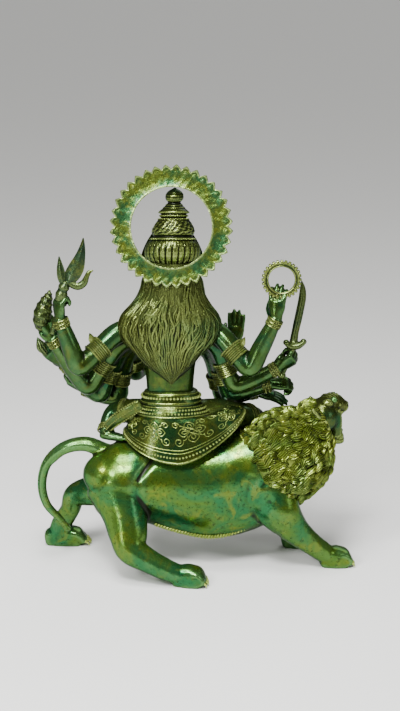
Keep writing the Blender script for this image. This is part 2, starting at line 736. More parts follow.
def over_trunk(points, lift):
    """Moves points that lie inside the trunk out to its surface, and `lift` further.

    The trunk is an ellipse at each x. A point at a share q < 1 of the way from its middle to its
    edge moves straight out from the middle until q is 1 plus the lift's share."""
    x = points[..., 0]
    y, z, a, b = (np.interp(x, trunk_line[:, 0], trunk_line[:, k]) for k in (1, 2, 3, 4))
    past = np.sqrt(np.clip(1 - (np.maximum(x - CHEST_START, 0) / CHEST_REACH) ** 2, 1e-4, 1))
    middle = np.stack([x, y, z], -1)
    share = np.hypot((points[..., 1] - y) / (a * past), (points[..., 2] - z) / (b * past))
    goal = np.maximum(share, 1 + lift / (b * past) - 0.02)
    return middle + (points - middle) * (goal / np.maximum(share, 1e-6))[..., None]


def on_mane(polar, angle, lift):
    """The egg: -cos p along the way back, sin p cos a to the chin, sin p sin a to the near side.

    Below, behind its widest ring, it swells by the share -BEARD cos^2 a cos p."""
    ring = np.sin(polar)
    along, chin, near = -np.cos(polar) * (MANE_DEEP + lift), ring * np.cos(angle), ring * np.sin(angle)
    chin = chin * (1 + BEARD * np.clip(np.cos(angle), 0, 1) ** 2 * np.clip(-np.cos(polar), 0, 1))
    flat = (MANE_ACROSS + lift)[..., None] * (chin[..., None] * MANE_CHIN + near[..., None] * MANE_NEAR)
    return over_trunk(MANE_CENTRE + along[..., None] * MANE_WAY + flat, lift)


turn, fall = turn_and_fall(80, np.linspace(0.03, 0.9, 50))
core = skin(on_mane(fall * np.pi, turn * 2 * np.pi, np.full(turn.shape, -0.6)))
piece("mane_core", [core], mane_olive)

# %% The ruff's egg and the edge of the mane
# A second, smaller egg carries the locks around the skull
RUFF_CENTRE = np.array([120.5, 7, 144])
RUFF_WAY = unit([-0.94, -0.1, -0.337])
RUFF_CHIN = unit(np.cross(RUFF_WAY, Y_WAY))
RUFF_NEAR = np.cross(RUFF_WAY, RUFF_CHIN)
RUFF_AXES = np.array([24.0, 28, 25])
# The rear edge of the mane on the lion's sides, as [z, x]
MANE_EDGE = np.array(
    [[62.0, 106], [71, 95], [78, 86], [84, 79], [92, 73], [102, 66], [116, 56], [129, 49], [150, 40]]
)


def on_ruff(polar, angle, lift):
    """An egg without the beard, laid around the skull, with three half axes of its own."""
    axes = RUFF_AXES + lift[..., None]
    ring = np.sin(polar)
    along = (-np.cos(polar) * axes[..., 0])[..., None] * RUFF_WAY
    chin = (ring * np.cos(angle) * axes[..., 1])[..., None] * RUFF_CHIN
    return RUFF_CENTRE + along + chin + (ring * np.sin(angle) * axes[..., 2])[..., None] * RUFF_NEAR


# %% The form of a lock
LOCK_PITCH = 7.8  # from one lock to the next in a row
LOCK_LENGTH = 14.0
LOCK_THICK = 2.4
LOCK_SINK = 2.6  # how deep its root lies under the egg
COMB_POINTS, COMB_DEPTH = 9, 0.6
LOCK_RINGS = 10
rng = np.random.default_rng(11)
s = np.linspace(0, 1, LOCK_RINGS)[None, :, None]
comb = np.linspace(1, -1, COMB_POINTS)
t = np.concatenate([comb, [-0.6, 0, 0.6]])[None, None, :]
top = (np.arange(COMB_POINTS + 3) < COMB_POINTS)[None, None, :]
mark = np.where(np.arange(COMB_POINTS + 3) % 2 == 1, 1.0, -1.0)[None, None, :] * top
a, q = circle(10)[:, None], circle(5)[None, :]
curl_ring = [(1.75 + np.cos(q)) * np.cos(a), (1.75 + np.cos(q)) * np.sin(a), np.sin(q) + 0 * a]
CURL = hoop(np.stack(curl_ring, -1), 0.4 + 0.2 * np.sin(q) + 0 * a)
print("a lock has", LOCK_RINGS, "rings of", COMB_POINTS + 3, "points, and a curl", len(CURL.quads), "faces")


# %% Rows of locks on an egg
def locks_on(surface, across, deep, first, step, rows, keep):
    """Locks in rows from the polar angle `first`, `step` degrees apart, on an egg.

    A lock follows its polar angle p and turns aside: p = p0 + L s cos k / R and a = a0 + L s sin k / R,
    with a skew k and a curl that grows with s^2. It stands off as sin 2.25 s, so its tip turns in again, and
    every fourth lock ends in a small ring, the eye of its curl."""
    seeds = []
    for row in range(rows):
        polar = np.radians(first + step * row)
        count = int(round(2 * np.pi * across * np.sin(polar) / LOCK_PITCH))
        seeds += [(polar, (k + 0.5 * (row % 2)) * 2 * np.pi / count) for k in range(count)]
    seeds = np.array(seeds)
    seeds = seeds[keep(surface(seeds[:, 0] + LOCK_LENGTH / deep, seeds[:, 1], np.zeros(len(seeds))))]
    count = len(seeds)
    polar0, angle0 = ((seeds[:, k] + rng.normal(0, 0.04, count))[:, None, None] for k in (0, 1))
    length, half, stand = (
        (middle * rng.uniform(low, high, count))[:, None, None]
        for middle, low, high in ((LOCK_LENGTH, 0.7, 1.2), (LOCK_PITCH, 0.4, 0.66), (1, 1.8, 4.8))
    )
    skew, curl = (rng.normal(0, spread, count)[:, None, None] for spread in (0.42, 0.8))
    width = half * (0.72 + 0.75 * s - 1.0 * s**4)
    thick = LOCK_THICK * (1 - 0.45 * s)
    rise = -LOCK_SINK + stand * np.sin(2.25 * s**0.9)
    bulge = np.where(top, thick * np.sqrt(np.clip(1 - t**2, 0, 1)), -0.8 * thick * (1 - t**2))
    combed = COMB_DEPTH * mark * np.clip(4 * s, 0, 1) * (1 - 0.5 * t**2)
    polar = polar0 + length * s * np.cos(skew) / deep + 0 * t
    aside = width * t + length * s * np.sin(skew) + curl * half * s**2
    angle = angle0 + aside / (across * np.sin(np.clip(polar, 0.25, 2.9)))
    relief = np.where(top, 0.36 + 0.16 * s + 0.26 * mark, 0.05) + 0 * polar
    locks = strands(surface(polar, angle, rise + bulge + combed), relief)
    curled = np.arange(count) % 4 == 0
    tip_polar, tip_angle = polar[curled, -2, COMB_POINTS // 2], angle[curled, -2, COMB_POINTS // 2]
    tip_rise = (rise + thick)[curled, -2, 0]
    spots = surface(tip_polar, tip_angle, tip_rise)
    out = unit(surface(tip_polar, tip_angle, tip_rise + 1) - spots)
    beside = unit(np.cross(out, UP))
    ways = np.stack([beside, np.cross(out, beside), out], 1)
    return [locks, copies(CURL, spots, ways, rng.uniform(0.65, 1.0, len(spots)))]


# %% Lay the locks
def before_edge(tips):
    """True where a tip lies before the rear edge of the mane."""
    return tips[:, 0] > np.interp(tips[:, 2], MANE_EDGE[:, 0], MANE_EDGE[:, 1])


def outside_mane(tips):
    """True where a tip of the ruff isn't buried in the mane's egg."""
    return np.linalg.norm(tips - MANE_CENTRE, axis=1) > 0.93 * MANE_ACROSS


locks = locks_on(on_mane, MANE_ACROSS, MANE_DEEP, 24, 5.6, 22, before_edge)
locks += locks_on(on_ruff, 26.0, 24.0, 58, 10, 8, outside_mane)
turn, fall = turn_and_fall(48, np.linspace(0.33, 0.95, 24))
ruff = skin(on_ruff(fall * np.pi, turn * 2 * np.pi, np.full(turn.shape, -0.8)))
piece("mane_locks", [*locks, ruff], mane_olive, crisp=70)

# %% [markdown]
# ## The lion's head
# The head is thrown back and roars. Skull, muzzle, jaw, lips, brows, cheeks and ears are melted with a finer
# net than the body's. Then nostrils, the hollows of the ears and the wrinkles over the nose are pressed in,
# and the roots of the whiskers stand out. The teeth follow the edges of both jaws, so they are placed from
# the same tables.

# %% The lion's head
MUZZLE = [
    [126, 8, 160, 17, 14],
    [137, 10, 169, 11.5, 11],
    [145, 12, 166.5, 8, 7.5],
    [150, 13, 163.5, 5, 5.5],
]
JAW = [
    [122, 8, 144, 13, 11],
    [133, 10, 136, 10, 7.5],
    [142, 11, 130.5, 7, 5],
    [147, 12, 130, 5, 4.5],
]
TONGUE = [
    [128, 9, 147, 6, 3],
    [140, 12, 143, 5, 2.2],
    [147, 13, 139.5, 3.4, 1.8],
]
HEAD_VOXEL = 0.9
sides = (-1, 1)
skull = [
    ball((127, 8, 157), (18, 20, 18), 40, 26),
    limb(MUZZLE, 36, 40),
    limb(JAW, 32, 40),
    ball((150.8, 13, 167.5), (3.0, 4.6, 2.8)),
]
for side in sides:
    lip = [
        [139, 8 + side * 9, 164, 3, 6],
        [141, 9 + side * 9.5, 151, 2.6, 5.6],
        [140, 10 + side * 8, 137, 3, 5.6],
    ]
    ear = [
        [123, 7 + side * 14, 158, 6.5, 5],
        [119, 6 + side * 20, 165, 5.5, 3.4],
        [115, 5 + side * 22, 170, 2.5, 1.8],
    ]
    skull += [
        limb(lip, 20, 30),
        ball((131, 9 + side * 10, 172), (6, 5, 4.5)),
        ball((137, 11 + side * 11.5, 164), (6, 3.6, 5)),
        limb(ear, 20, 24),
    ]
# Hollows and swellings: x, y, z, reach, depth (less than nothing stands out)
DENTS = [(153.2, 13 + side * 2.5, 167, 1.6, 2.0) for side in sides]
DENTS += [(119.5, 6 + side * 18.5, 165, 3.2, 2.4) for side in sides]
DENTS += [(143, 12 + side * 5, 174.5, 2.6, 0.9) for side in sides]
DENTS += [
    (138 + 3 * k, 11.5 + side * (12 - 1.2 * k), 166.5 + 1.5 * k, 1.2, -0.6)
    for side in sides for k in range(4)
]
SNOUT_TOP = np.array([137.0, 11, 180])
WRINKLE_REACH, WRINKLE_PITCH = np.array([9, 8, 5]), 4.2
lion_head = melt(skull, HEAD_VOXEL, ease=5)
off = np.zeros(len(lion_head.points))
for x, y, z, reach, depth in DENTS:
    off -= depth * np.exp(-((lion_head.points - [x, y, z]) ** 2).sum(1) / reach**2)
snout = lion_head.points - SNOUT_TOP
wrinkle = np.exp(-((snout / WRINKLE_REACH) ** 2).sum(1))
off += 0.55 * wrinkle * np.cos(2 * np.pi * (snout[:, 0] - 0.12 * snout[:, 1] ** 2) / WRINKLE_PITCH)
piece("lion_head", [carve(lion_head, off)], hair_olive)

# %% Teeth, tongue and eyes
def jaw_spot(table, place, side, out, high):
    """A point of a jaw: `out` half widths to a side and `high` half heights up from its middle line."""
    x, y, z, a, b = smooth_line(table, np.array([place]))[0]
    before, beyond = smooth_line(table, np.array([place - 0.05, min(place + 0.05, 1)]))[:, :3]
    ahead = unit(beyond - before)
    across = unit(Y_WAY - ahead * (ahead @ Y_WAY))
    up = np.cross(ahead, across)
    up *= np.sign(up[2])
    return np.array([x, y, z]) + side * out * a * across + high * b * up, up


# Each tooth: its place along the jaw, how far it stands out, and its length above and below
TOOTH_ROWS = [
    (0.42, 0.78, 4.5, 4.5), (0.56, 0.78, 4.8, 4.8), (0.7, 0.76, 5.2, 5.2),
    (0.84, 0.7, 11, 9), (0.95, 0.4, 4.0, 4.0), (1.0, 0.14, 3.6, 3.6),
]
teeth = []
for table, way, high in ((MUZZLE, -1, -0.62), (JAW, 1, 0.55)):
    for side in sides:
        for place, out, upper, lower in TOOTH_ROWS:
            long = upper if way < 0 else lower
            root, up = jaw_spot(table, place, side, out, high)
            tip = root + way * up * long + np.array([0.8, 0, 0])
            rows = [[*root, 1.6 + long * 0.09], [*(root + tip) / 2, 1.35 + long * 0.05], [*tip, 0.35]]
            teeth.append(limb(rows, 10, 9))
piece("lion_teeth", teeth, hair_olive)


def tongue_lift(place, angle):
    """A groove along the top of the tongue."""
    return -0.9 * bell(angle - np.pi / 2, 0.35)


eyes = []
for side in sides:
    spot = np.array([137.5, 10 + side * 8.6, 174.8])
    eyes += [ball(spot, 3.3, 28, 18), ball(spot + [1.6, side * 1.9, 1.7], 1.25, 16, 10)]
piece("lion_tongue_and_eyes", [limb(TONGUE, 28, 30, lift=tongue_lift), *eyes], lion_green)

# %% [markdown]
# ## The goddess's body
# She sits astride with her right leg hanging down on the far side and her left one folded. Torso, breasts,
# legs and ten arms are limbs and balls that are melted into one skin, as the wax model was, with the elbows
# kept crisp.

# %% The goddess's measurements
TORSO = [
    [-27, 0, 176, 23, 16],
    [-27, 0, 198, 24, 17],
    [-27, 2, 220, 27.5, 18],
    [-26, 3, 241, 37, 19],
    [-25.5, 3, 257, 36, 15],
    [-25, 4, 268, 14, 12],
    [-25, 5, 284, 12, 12],
]
RIGHT_LEG = [
    [-8, 2, 152, 22, 20],
    [20, 8, 154.5, 20, 18],
    [46, 22, 149.5, 15.5, 14],
    [60, 39, 143, 11.5, 11.5],
    [62, 54, 122, 9.5, 9.5],
    [61, 60, 100, 7, 7.5],
    [60, 62, 88, 6, 7],
]
RIGHT_FOOT = [
    [60, 60, 84, 6, 6],
    [61, 70, 79, 6.5, 4.5],
    [63, 84, 76, 6, 2.6],
]
LEFT_LEG = [
    [-46, 4, 157, 18, 17],
    [-68, 8, 161, 13, 11.5],
    [-84, 12, 159.5, 9.2, 8.6],
    [-90.5, 7, 151, 7.4, 7.2],
    [-92, -1, 143, 6.3, 6.3],
]
LEFT_FOOT = [
    [-95, 0, 139.5, 6, 5.2],
    [-85, -4, 138.5, 6.5, 4.8],
    [-73, -8, 137.5, 6, 3.4],
]

# %% Arms and hands
# Each arm has six points, from the shoulder over the elbow to the wrist
ARM_HALVES = (10.5, 10, 8.8, 8.8, 8.7, 6.7)  # half widths from the shoulder to the wrist
HIGH_ARM_HALVES = (11, 10.8, 10, 9.3, 9.3, 6.7)  # the same for the two arms that are raised highest
ARM_POINTS = {
    "trident": [
        (-60, 0, 250), (-79, -8, 246), (-100, -19, 229),
        (-116, -26, 217), (-123, -28, 236), (-133, -30, 266),
    ],
    "conch": [
        (-58, 4, 244), (-78, 5, 232), (-96, 4, 206),
        (-109, 4, 188), (-122, 0, 204), (-143, -4, 240),
    ],
    "bud": [
        (-58, 8, 240), (-75, 14, 226), (-90, 18, 194),
        (-98, 20, 175), (-112, 20, 184), (-134, 20, 208),
    ],
    "low_left": [
        (-56, 12, 238), (-70, 22, 218), (-78, 29, 188),
        (-80, 33, 170), (-95, 39, 168), (-116, 45, 174),
    ],
    "front_left": [
        (-54, 10, 244), (-62, 22, 226), (-64, 36, 204),
        (-63, 46, 191), (-56, 58, 194), (-43, 70, 202),
    ],
    "discus": [
        (6, 0, 250), (22, -7, 245), (40, -18, 226),
        (52, -24, 215), (62, -24, 234), (77, -24, 265),
    ],
    "sword": [
        (4, 4, 244), (20, 5, 230), (30, 6, 204),
        (38, 6, 189), (54, 6, 193), (81, 6, 207),
    ],
    "low_right": [
        (4, 8, 240), (19, 14, 222), (27, 20, 192),
        (33, 22, 176), (48, 22, 178), (74, 22, 185),
    ],
    "open_right": [
        (2, 12, 236), (15, 22, 216), (22, 32, 184),
        (27, 37, 168), (40, 40, 168), (61, 41, 172),
    ],
    "blessing": [
        (0, 12, 244), (12, 26, 230), (24, 40, 206),
        (31, 47, 196), (35, 50, 204), (39, 52, 220),
    ],
}
ARMS = {}
for name, points in ARM_POINTS.items():
    halves = HIGH_ARM_HALVES if name in ("trident", "discus") else ARM_HALVES
    ARMS[name] = [[*point, half] for point, half in zip(points, halves)]
print("arms:", list(ARMS))
# Each hand: the way it points, the way its palm faces, and how far its fingers curl, from 0 to 1
HANDS = {
    "trident": ([-0.1, 0, 1], [0.8, 0.6, 0.1], 1),
    "conch": ([-0.25, 0, 1], [-0.6, 0.8, 0], 0.75),
    "bud": ([-0.8, 0, 0.6], [0.2, 0.9, 0.3], 0.5),
    "low_left": ([-0.9, 0.1, 0.35], [0.3, 0.3, 0.9], 0.8),
    "front_left": ([0.8, 0.5, 0.3], [-0.3, 0, 0.95], 0.25),
    "discus": ([0.05, 0, 1], [0.3, 0.9, 0], 0.25),
    "sword": ([0.85, 0, 0.5], [-0.3, 0.8, 0.5], 1),
    "low_right": ([1, 0, 0.1], [0, 0.5, -0.8], 1),
    "open_right": ([1, 0, -0.25], [-0.2, 0.3, -0.9], 0.15),
    "blessing": ([0.05, 0.05, 1], [0, 1, -0.05], 0),
}

# %% The goddess's finishes
figure_green = patina(
    "figure_green",
    green=(0.006, 0.052, 0.020), second=(0.026, 0.058, 0.008), ochre=(0.080, 0.088, 0.010),
    worn=(0.055, 0.125, 0.038), ochre_share=0.5, cloud=30.0, rough=0.15,
)
weapon_dark = patina(
    "weapon_dark",
    green=(0.014, 0.034, 0.016), second=(0.040, 0.058, 0.012), ochre=(0.115, 0.115, 0.016),
    worn=(0.085, 0.120, 0.035), ochre_share=0.4, cloud=40.0, rough=0.25,
)

# %% The goddess's body
FIGURE_VOXEL = 1.75
figure = melt(
    [
        limb(TORSO, 56, 70, across=X_WAY),
        *[ball((-26 + side * 14.5, 16, 236), (12, 11, 12), 40, 26) for side in sides],
        *[ball((-26 + side * 14.5, 27, 235.5), 2.2, 16, 10) for side in sides],
        limb(RIGHT_LEG, 36, 80),
        limb(RIGHT_FOOT, 28, 30, across=X_WAY),
        limb(LEFT_LEG, 36, 70),
        limb(LEFT_FOOT, 28, 30),
        *[limb(rows, 28, 70) for rows in ARMS.values()],
    ],
    FIGURE_VOXEL, ease=3,
)
NAVEL = np.array([-27, 17.5, 197])
SPINE_X, SPINE_DEPTH, SPINE_REACH = -26.5, 0.8, 4.6
navel_dent = -2.2 * bell(np.linalg.norm(figure.points - NAVEL, axis=1), 2.4)
x, y, z = figure.points.T
# The furrow of the spine runs down the back, from the neck to the waist
behind = np.clip((-6 - y) / 8, 0, 1) * np.clip((z - 184) / 8, 0, 1) * np.clip((262 - z) / 8, 0, 1)
spine = -SPINE_DEPTH * behind * bell(x - SPINE_X, SPINE_REACH)
figure_body = piece("goddess_body", [carve(figure, navel_dent + spine)], figure_green)
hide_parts("goddess")

# %% [markdown]
# ## Hands
# A hand is a palm, four fingers with three bones each and a thumb. Every bone of a finger bends further
# towards the palm than the one before it: for a fist by 49, 132 and 189 degrees, and for a half open hand
# by a share of that.

# %% Hands
HAND_SIZE = 1.25
FINGER_LENGTH = 15
# Each finger: its place across the palm and its share of the length
FINGERS = ((-4.9, 0.8), (-1.65, 0.97), (1.65, 1.0), (4.9, 0.86))
# Each bone: its share of the finger, its bend in a fist, in radians, and the half width at its end
BONES = ((0.44, 0.85, 2.4), (0.32, 2.3, 2.15), (0.24, 3.3, 1.6))


def hand(wrist, way, palm, curl):
    """Palm, fingers and thumb. A bone that bends by b points along forward cos b + facing sin b."""
    forward = unit(way)
    facing = np.asarray(palm, float)
    facing = unit(facing - forward * (forward @ facing))
    side = np.cross(forward, facing)
    root = np.array(wrist[:3], float)

    def spot(ahead, aside, front):
        return root + HAND_SIZE * (ahead * forward + aside * side + front * facing)

    palm_rows = [
        [*spot(-4, 0, 0), 6.0, 5.4],
        [*spot(3, 0, 0), 6.6, 4.9],
        [*spot(9, 0, 0.2), 8.6, 4.5],
        [*spot(14, 0, 0), 8.6, 3.3],
    ]
    forms = [limb(palm_rows, 28, 26, across=side)]
    for aside, share in FINGERS:
        joint = spot(13.4 - 0.04 * aside**2, aside, 0)
        rows = [[*joint, 2.6]]
        for bone, bend, half in BONES:
            turned = forward * np.cos(bend * curl) + facing * np.sin(bend * curl) + 0.02 * aside * side
            joint = joint + HAND_SIZE * turned * FINGER_LENGTH * share * bone
            rows.append([*joint, half])
        forms.append(limb(rows, 16, 30, across=side))
    thumb = [
        [*spot(1, 4.2, 1.2), 3.4],
        [*spot(6.5 - curl, 7.6 - 1.5 * curl, 3), 3.0],
        [*spot(11.5 - 2.5 * curl, 8.6 - 5 * curl, 4.5 + 2 * curl), 2.4],
        [*spot(15.5 - 5 * curl, 8.4 - 7 * curl, 5.5 + 2.5 * curl), 1.8],
    ]
    return [*forms, limb(thumb, 16, 26, across=side)]


# %% Toes, and the finished hands and feet
def toes_of(rows, wide_way):
    """Five toes side by side at the end of a foot, the first one larger."""
    last, before = np.array(rows[-1][:3], float), np.array(rows[-2][:3], float)
    ahead = unit(last - before)
    forms = []
    for k in range(5):
        base = last + wide_way * (k - 2) * 2.3 - ahead * (1 + 0.7 * k)
        half = 1.9 if k == 0 else 1.45
        rows = [[*base, half], [*(base + ahead * 4 + UP * 0.6), half], [*(base + ahead * 7), half * 0.8]]
        forms.append(limb(rows, 14, 16))
    return forms


HAND_VOXEL = 1.05
fingers = [form for name, row in HANDS.items() for form in hand(ARMS[name][-1], *row)]
feet = toes_of(RIGHT_FOOT, X_WAY) + toes_of(LEFT_FOOT, -Y_WAY)
piece("hands_and_toes", [melt([*fingers, *feet], HAND_VOXEL, ease=3)], figure_green)

# %% [markdown]
# ## Jewellery
# Jewellery on such a figure is rolled wax: thread laid around the arm in rings, small balls pressed on in a
# row, and a leaf. The frame of an arm at a given place gives the middle, the way along and the two ways
# across it.

# %% Threads and beads around a limb
BEAD = ball((0, 0, 0), 1.0, 8, 4)


def frame_at(rows, place):
    """The middle, half widths and three axes of a limb at a place from 0 to 1."""
    pair = [place, place + 0.01] if place < 0.99 else [place - 0.01, place]
    here, ahead = smooth_line(rows, np.array(pair))
    along = unit(ahead[:3] - here[:3])
    here = smooth_line(rows, np.array([place]))[0]
    side = unit(Y_WAY - along * (along @ Y_WAY))
    return here[:3], here[3], here[4] if len(here) > 4 else here[3], along, side, np.cross(along, side)


def thread(rows, place, rise, thick, slip=0.0, around=28, section=6):
    """A ring of round thread: P = C + (a + e) cos v S + (b + e) sin v U + r sin q T, with e = rise + r cos q.

    C is the middle of the limb, a and b are its half widths, S and U lie across it and T along it."""
    middle, a, b, along, side, up = frame_at(rows, place)
    v, q = circle(around)[:, None], circle(section)[None, :]
    flare = (rise + thick * np.cos(q))[..., None]
    c, s = np.cos(v)[..., None], np.sin(v)[..., None]
    grid = middle + slip * along + (a + flare) * c * side + (b + flare) * s * up
    return hoop(grid + (thick * np.sin(q))[..., None] * along, 0.5 + 0.3 * np.cos(q) + 0 * v)


def beads_at(spots, size):
    """One bead at each spot, all of one size."""
    return copies(BEAD, spots, np.tile(np.eye(3), (len(spots), 1, 1)), np.full(len(spots), size))


def beads(rows, place, rise, size, slip=0.0):
    """A row of beads that touch each other around a limb."""
    middle, a, b, along, side, up = frame_at(rows, place)
    count = int(np.pi * (a + b + 2 * rise) / (2.05 * size))
    v = circle(count)[:, None]
    return beads_at(middle + slip * along + (a + rise) * np.cos(v) * side + (b + rise) * np.sin(v) * up, size)


# %% The crest of an armlet
def leaf_crest(rows, place, tall, toward=UP):
    """A pointed leaf with a midrib that stands up on the outer side of a limb."""
    middle, a, _, along, _, _ = frame_at(rows, place)
    out = unit(toward - along * (along @ toward))
    foot = middle + out * (a + 0.5)
    lean = -along * 0.35
    rows = [
        [*foot, 0.8, 2.6],
        [*(foot + (out + lean) * tall * 0.35), 1.0, 3.4],
        [*(foot + (out + lean) * tall * 0.7), 0.7, 2.2],
        [*(foot + (out + lean) * tall), 0.3, 0.4],
    ]
    return limb(rows, 16, 22, across=np.cross(out, along), power=1.3)


# %% Jewellery on arms and legs
WRIST = 0.99  # where the bracelets sit along an arm
UPPER_ARM = 0.385  # and the armlets
ANKLE = 0.93  # and the anklets along a leg
jewels = []
for rows in ARMS.values():
    jewels += [beads(rows, WRIST, 0.5, 1.15, slip) for slip in (-4.2, -0.6)]
    jewels += [thread(rows, WRIST, 0.5, 0.85, slip) for slip in (-6.0, -2.4, 1.2)]
    for slip, thick in ((-6.0, 1.3), (-3.6, 0.9), (-1.6, 0.9), (0.4, 0.9), (2.4, 0.9), (4.8, 1.3)):
        jewels.append(thread(rows, UPPER_ARM, 0.7, thick, slip))
    jewels.append(beads(rows, UPPER_ARM, 1.5, 1.1, -8.2))
    jewels.append(leaf_crest(rows, UPPER_ARM - 0.02, 9.5))
for rows in (RIGHT_LEG, LEFT_LEG):
    jewels.append(thread(rows, ANKLE, 0.8, 1.2))
    jewels.append(beads(rows, ANKLE, 1.6, 1.1, 2.6))
    jewels.append(thread(rows, ANKLE, 0.8, 0.9, -2.2))
jewel_olive = patina(
    "jewel_olive",
    green=(0.028, 0.060, 0.010), second=(0.062, 0.082, 0.011), ochre=(0.115, 0.115, 0.013),
    worn=(0.20, 0.24, 0.065), ochre_share=0.5, cloud=40.0, rough=0.27,
)
piece("jewellery", jewels, jewel_olive)

# %% [markdown]
# ## Lines that lie on a surface
# Strands of hair and threads of wax follow the form under them. `tubes` takes a surface as a function of a
# turn, a fall and a lift. It finds the way out by lifting the surface a little, and lays an oval around
# each line.

# %% Tubes on a surface
def tubes(surface, turn, fall, wide, tall, lift=0.0, around=6, shine=0.28):
    """Closed strands along lines turn[k, i], fall[k, i]: P + lift N + wide cos q B + tall sin q N.

    N is the way out of the surface and B = T x N lies across the line. The wear follows sin q."""
    flat = surface(turn, fall, 0.0)
    out = unit(surface(turn, fall, 1.0) - flat)
    ahead = unit(np.gradient(flat, axis=1))
    across = unit(np.cross(ahead, out))
    q = circle(around)
    wide, tall, lift = (np.broadcast_to(v, turn.shape)[..., None, None] for v in (wide, tall, lift))
    grid = (flat + lift[..., 0] * out)[:, :, None] + wide * np.cos(q)[:, None] * across[:, :, None]
    grid = grid + tall * np.sin(q)[:, None] * out[:, :, None]
    return strands(grid, 0.5 + shine * np.sin(q) + 0 * wide[..., 0])


# %% [markdown]
# ## Hair
# The hair hangs from the crown, spreads over the shoulders and narrows to a point on the small of the back.
# Its form is a sheath. On it lie fine strands that run straight down at first and then sway, and shorter
# locks that cross them. A strand keeps its share of the width, so all of them draw together at the point.

# %% The hair
# Middle x, height, half width, depth behind and depth before, from the crown down to the point
HAIR = [
    [-24.6, 318, 22, -19, 12],
    [-24.4, 300, 28.6, -23, 10],
    [-24.3, 293, 29.8, -23.6, 8],
    [-25, 284, 33.2, -24, 5],
    [-25.8, 276, 38.6, -24.6, 2],
    [-26.5, 267, 46.5, -25.2, -1],
    [-26.6, 257, 49.8, -25.6, -5],
    [-27, 248, 48.5, -25.4, -8],
    [-27.6, 240, 44.5, -25, -9],
    [-28, 232, 37.5, -24.4, -9.6],
    [-27.8, 223, 30, -23.8, -10.5],
    [-27, 214, 22.5, -22.5, -12],
    [-26, 205, 11.5, -21, -14],
    [-25.3, 196.6, 1.4, -19.3, -16.8],
]
hair_table = smooth_line(HAIR, np.linspace(0, 1, 240))


def on_hair(turn, fall, lift):
    """An ellipse at the height z = 318 - 121.4 fall, whose half axes come from the table."""
    z = HAIR[0][1] + (HAIR[-1][1] - HAIR[0][1]) * fall
    x, half, behind, before = (np.interp(-z, -hair_table[:, 1], hair_table[:, k]) for k in (0, 2, 3, 4))
    angle = 2 * np.pi * turn
    y = (behind + before) / 2 + ((before - behind) / 2 + lift) * np.sin(angle)
    return np.stack(np.broadcast_arrays(x + (half + lift) * np.cos(angle), y, z), -1)


def hair_width(turn, fall, half):
    """The distance over the hair from the turn less `half` to the turn plus `half`."""
    return np.linalg.norm(on_hair(turn + half, fall, 0.0) - on_hair(turn - half, fall, 0.0), axis=-1)


turn, fall = turn_and_fall(64, np.linspace(0, 1, 50))
under_hair = skin(on_hair(turn, fall, -0.8), np.full(turn.shape, 0.2))

# %% Strands and locks
STRANDS = 176
STRAND_RINGS = 34
rng = np.random.default_rng(5)
s = np.linspace(0, 1, STRAND_RINGS)[None, :]
root = (np.arange(STRANDS) / STRANDS + rng.normal(0, 0.0012, STRANDS))[:, None]
sideways = np.abs(np.cos(2 * np.pi * root))
reach = np.clip(1.0 - 0.36 * sideways**4 + rng.normal(0, 0.025, STRANDS)[:, None], 0.5, 1)
fall = reach * s
loose = np.clip((fall - 0.3) / 0.35, 0, 1)
sway = 0.0045 * np.sin(2 * np.pi * (2.1 * fall + 1.3 * root) + 1.0)
sway = sway + 0.003 * np.sin(2 * np.pi * (4.3 * fall + 3 * root))
waves = rng.uniform(2.5, 4.5, (STRANDS, 1))
phase = rng.uniform(0, 1, (STRANDS, 1))
own = 0.0028 * np.sin(2 * np.pi * (waves * fall + phase))
turn = root + loose * (sway + own)
taper = np.clip((1.02 - s) / 0.16, 0, 1) ** 0.6
wide = np.clip(hair_width(turn, fall, 0.5 / STRANDS) * 0.62, 0.28, 1.75) * taper
tall = np.clip(wide, 0.3, 1.15) * taper
lift = rng.uniform(-0.3, 0.5, (STRANDS, 1)) + 0.35 * np.sin(2 * np.pi * (3 * fall + 5 * root))
fine = tubes(on_hair, turn, fall, wide, tall, lift, around=6, shine=0.23)

LOCKS = 130
rng = np.random.default_rng(21)
s = np.linspace(0, 1, 18)[None, :]
root = rng.uniform(0.49, 1.01, (LOCKS, 1))
begin = rng.uniform(0.2, 0.68, (LOCKS, 1)) - 0.1 * np.abs(np.cos(2 * np.pi * root))
span = rng.uniform(0.14, 0.3, (LOCKS, 1))
fall = np.clip(begin + span * s, 0, 0.985)
lean = rng.normal(-0.012, 0.012, (LOCKS, 1)) * np.sign(0.9 - root)
turn = root + lean * s + 0.009 * np.sin(2 * np.pi * (1.2 * s + rng.uniform(0, 1, (LOCKS, 1)))) * s
width = hair_width(turn, fall, 0.004) / 0.008
shape = np.sin(np.pi * np.clip(s * 0.86 + 0.14, 0, 1)) ** 0.7
wide = np.clip(width * 0.0068, 0.3, 1.6) * rng.uniform(0.75, 1.25, (LOCKS, 1)) * shape + 0.05
tall = wide * 0.85
lift = 0.5 + 0.6 * np.sin(np.pi * s) ** 0.8
locks = tubes(on_hair, turn, fall, wide, tall, lift, around=6, shine=0.27)
piece("hair", [under_hair, fine, locks], hair_olive, crisp=70)

# %% [markdown]
# ## The head
# The face looks away from the viewer. It follows the rules of the school: an oval, eyes half closed at half
# the height of the head, brows like two bows, a long fine nose, and full lips with a calm smile. Each of
# these is a rise or a hollow on the oval, whose strength falls off with distance as exp(-d^2).

# %% The face
HEAD_MIDDLE = np.array([-25.0, 9, 300])
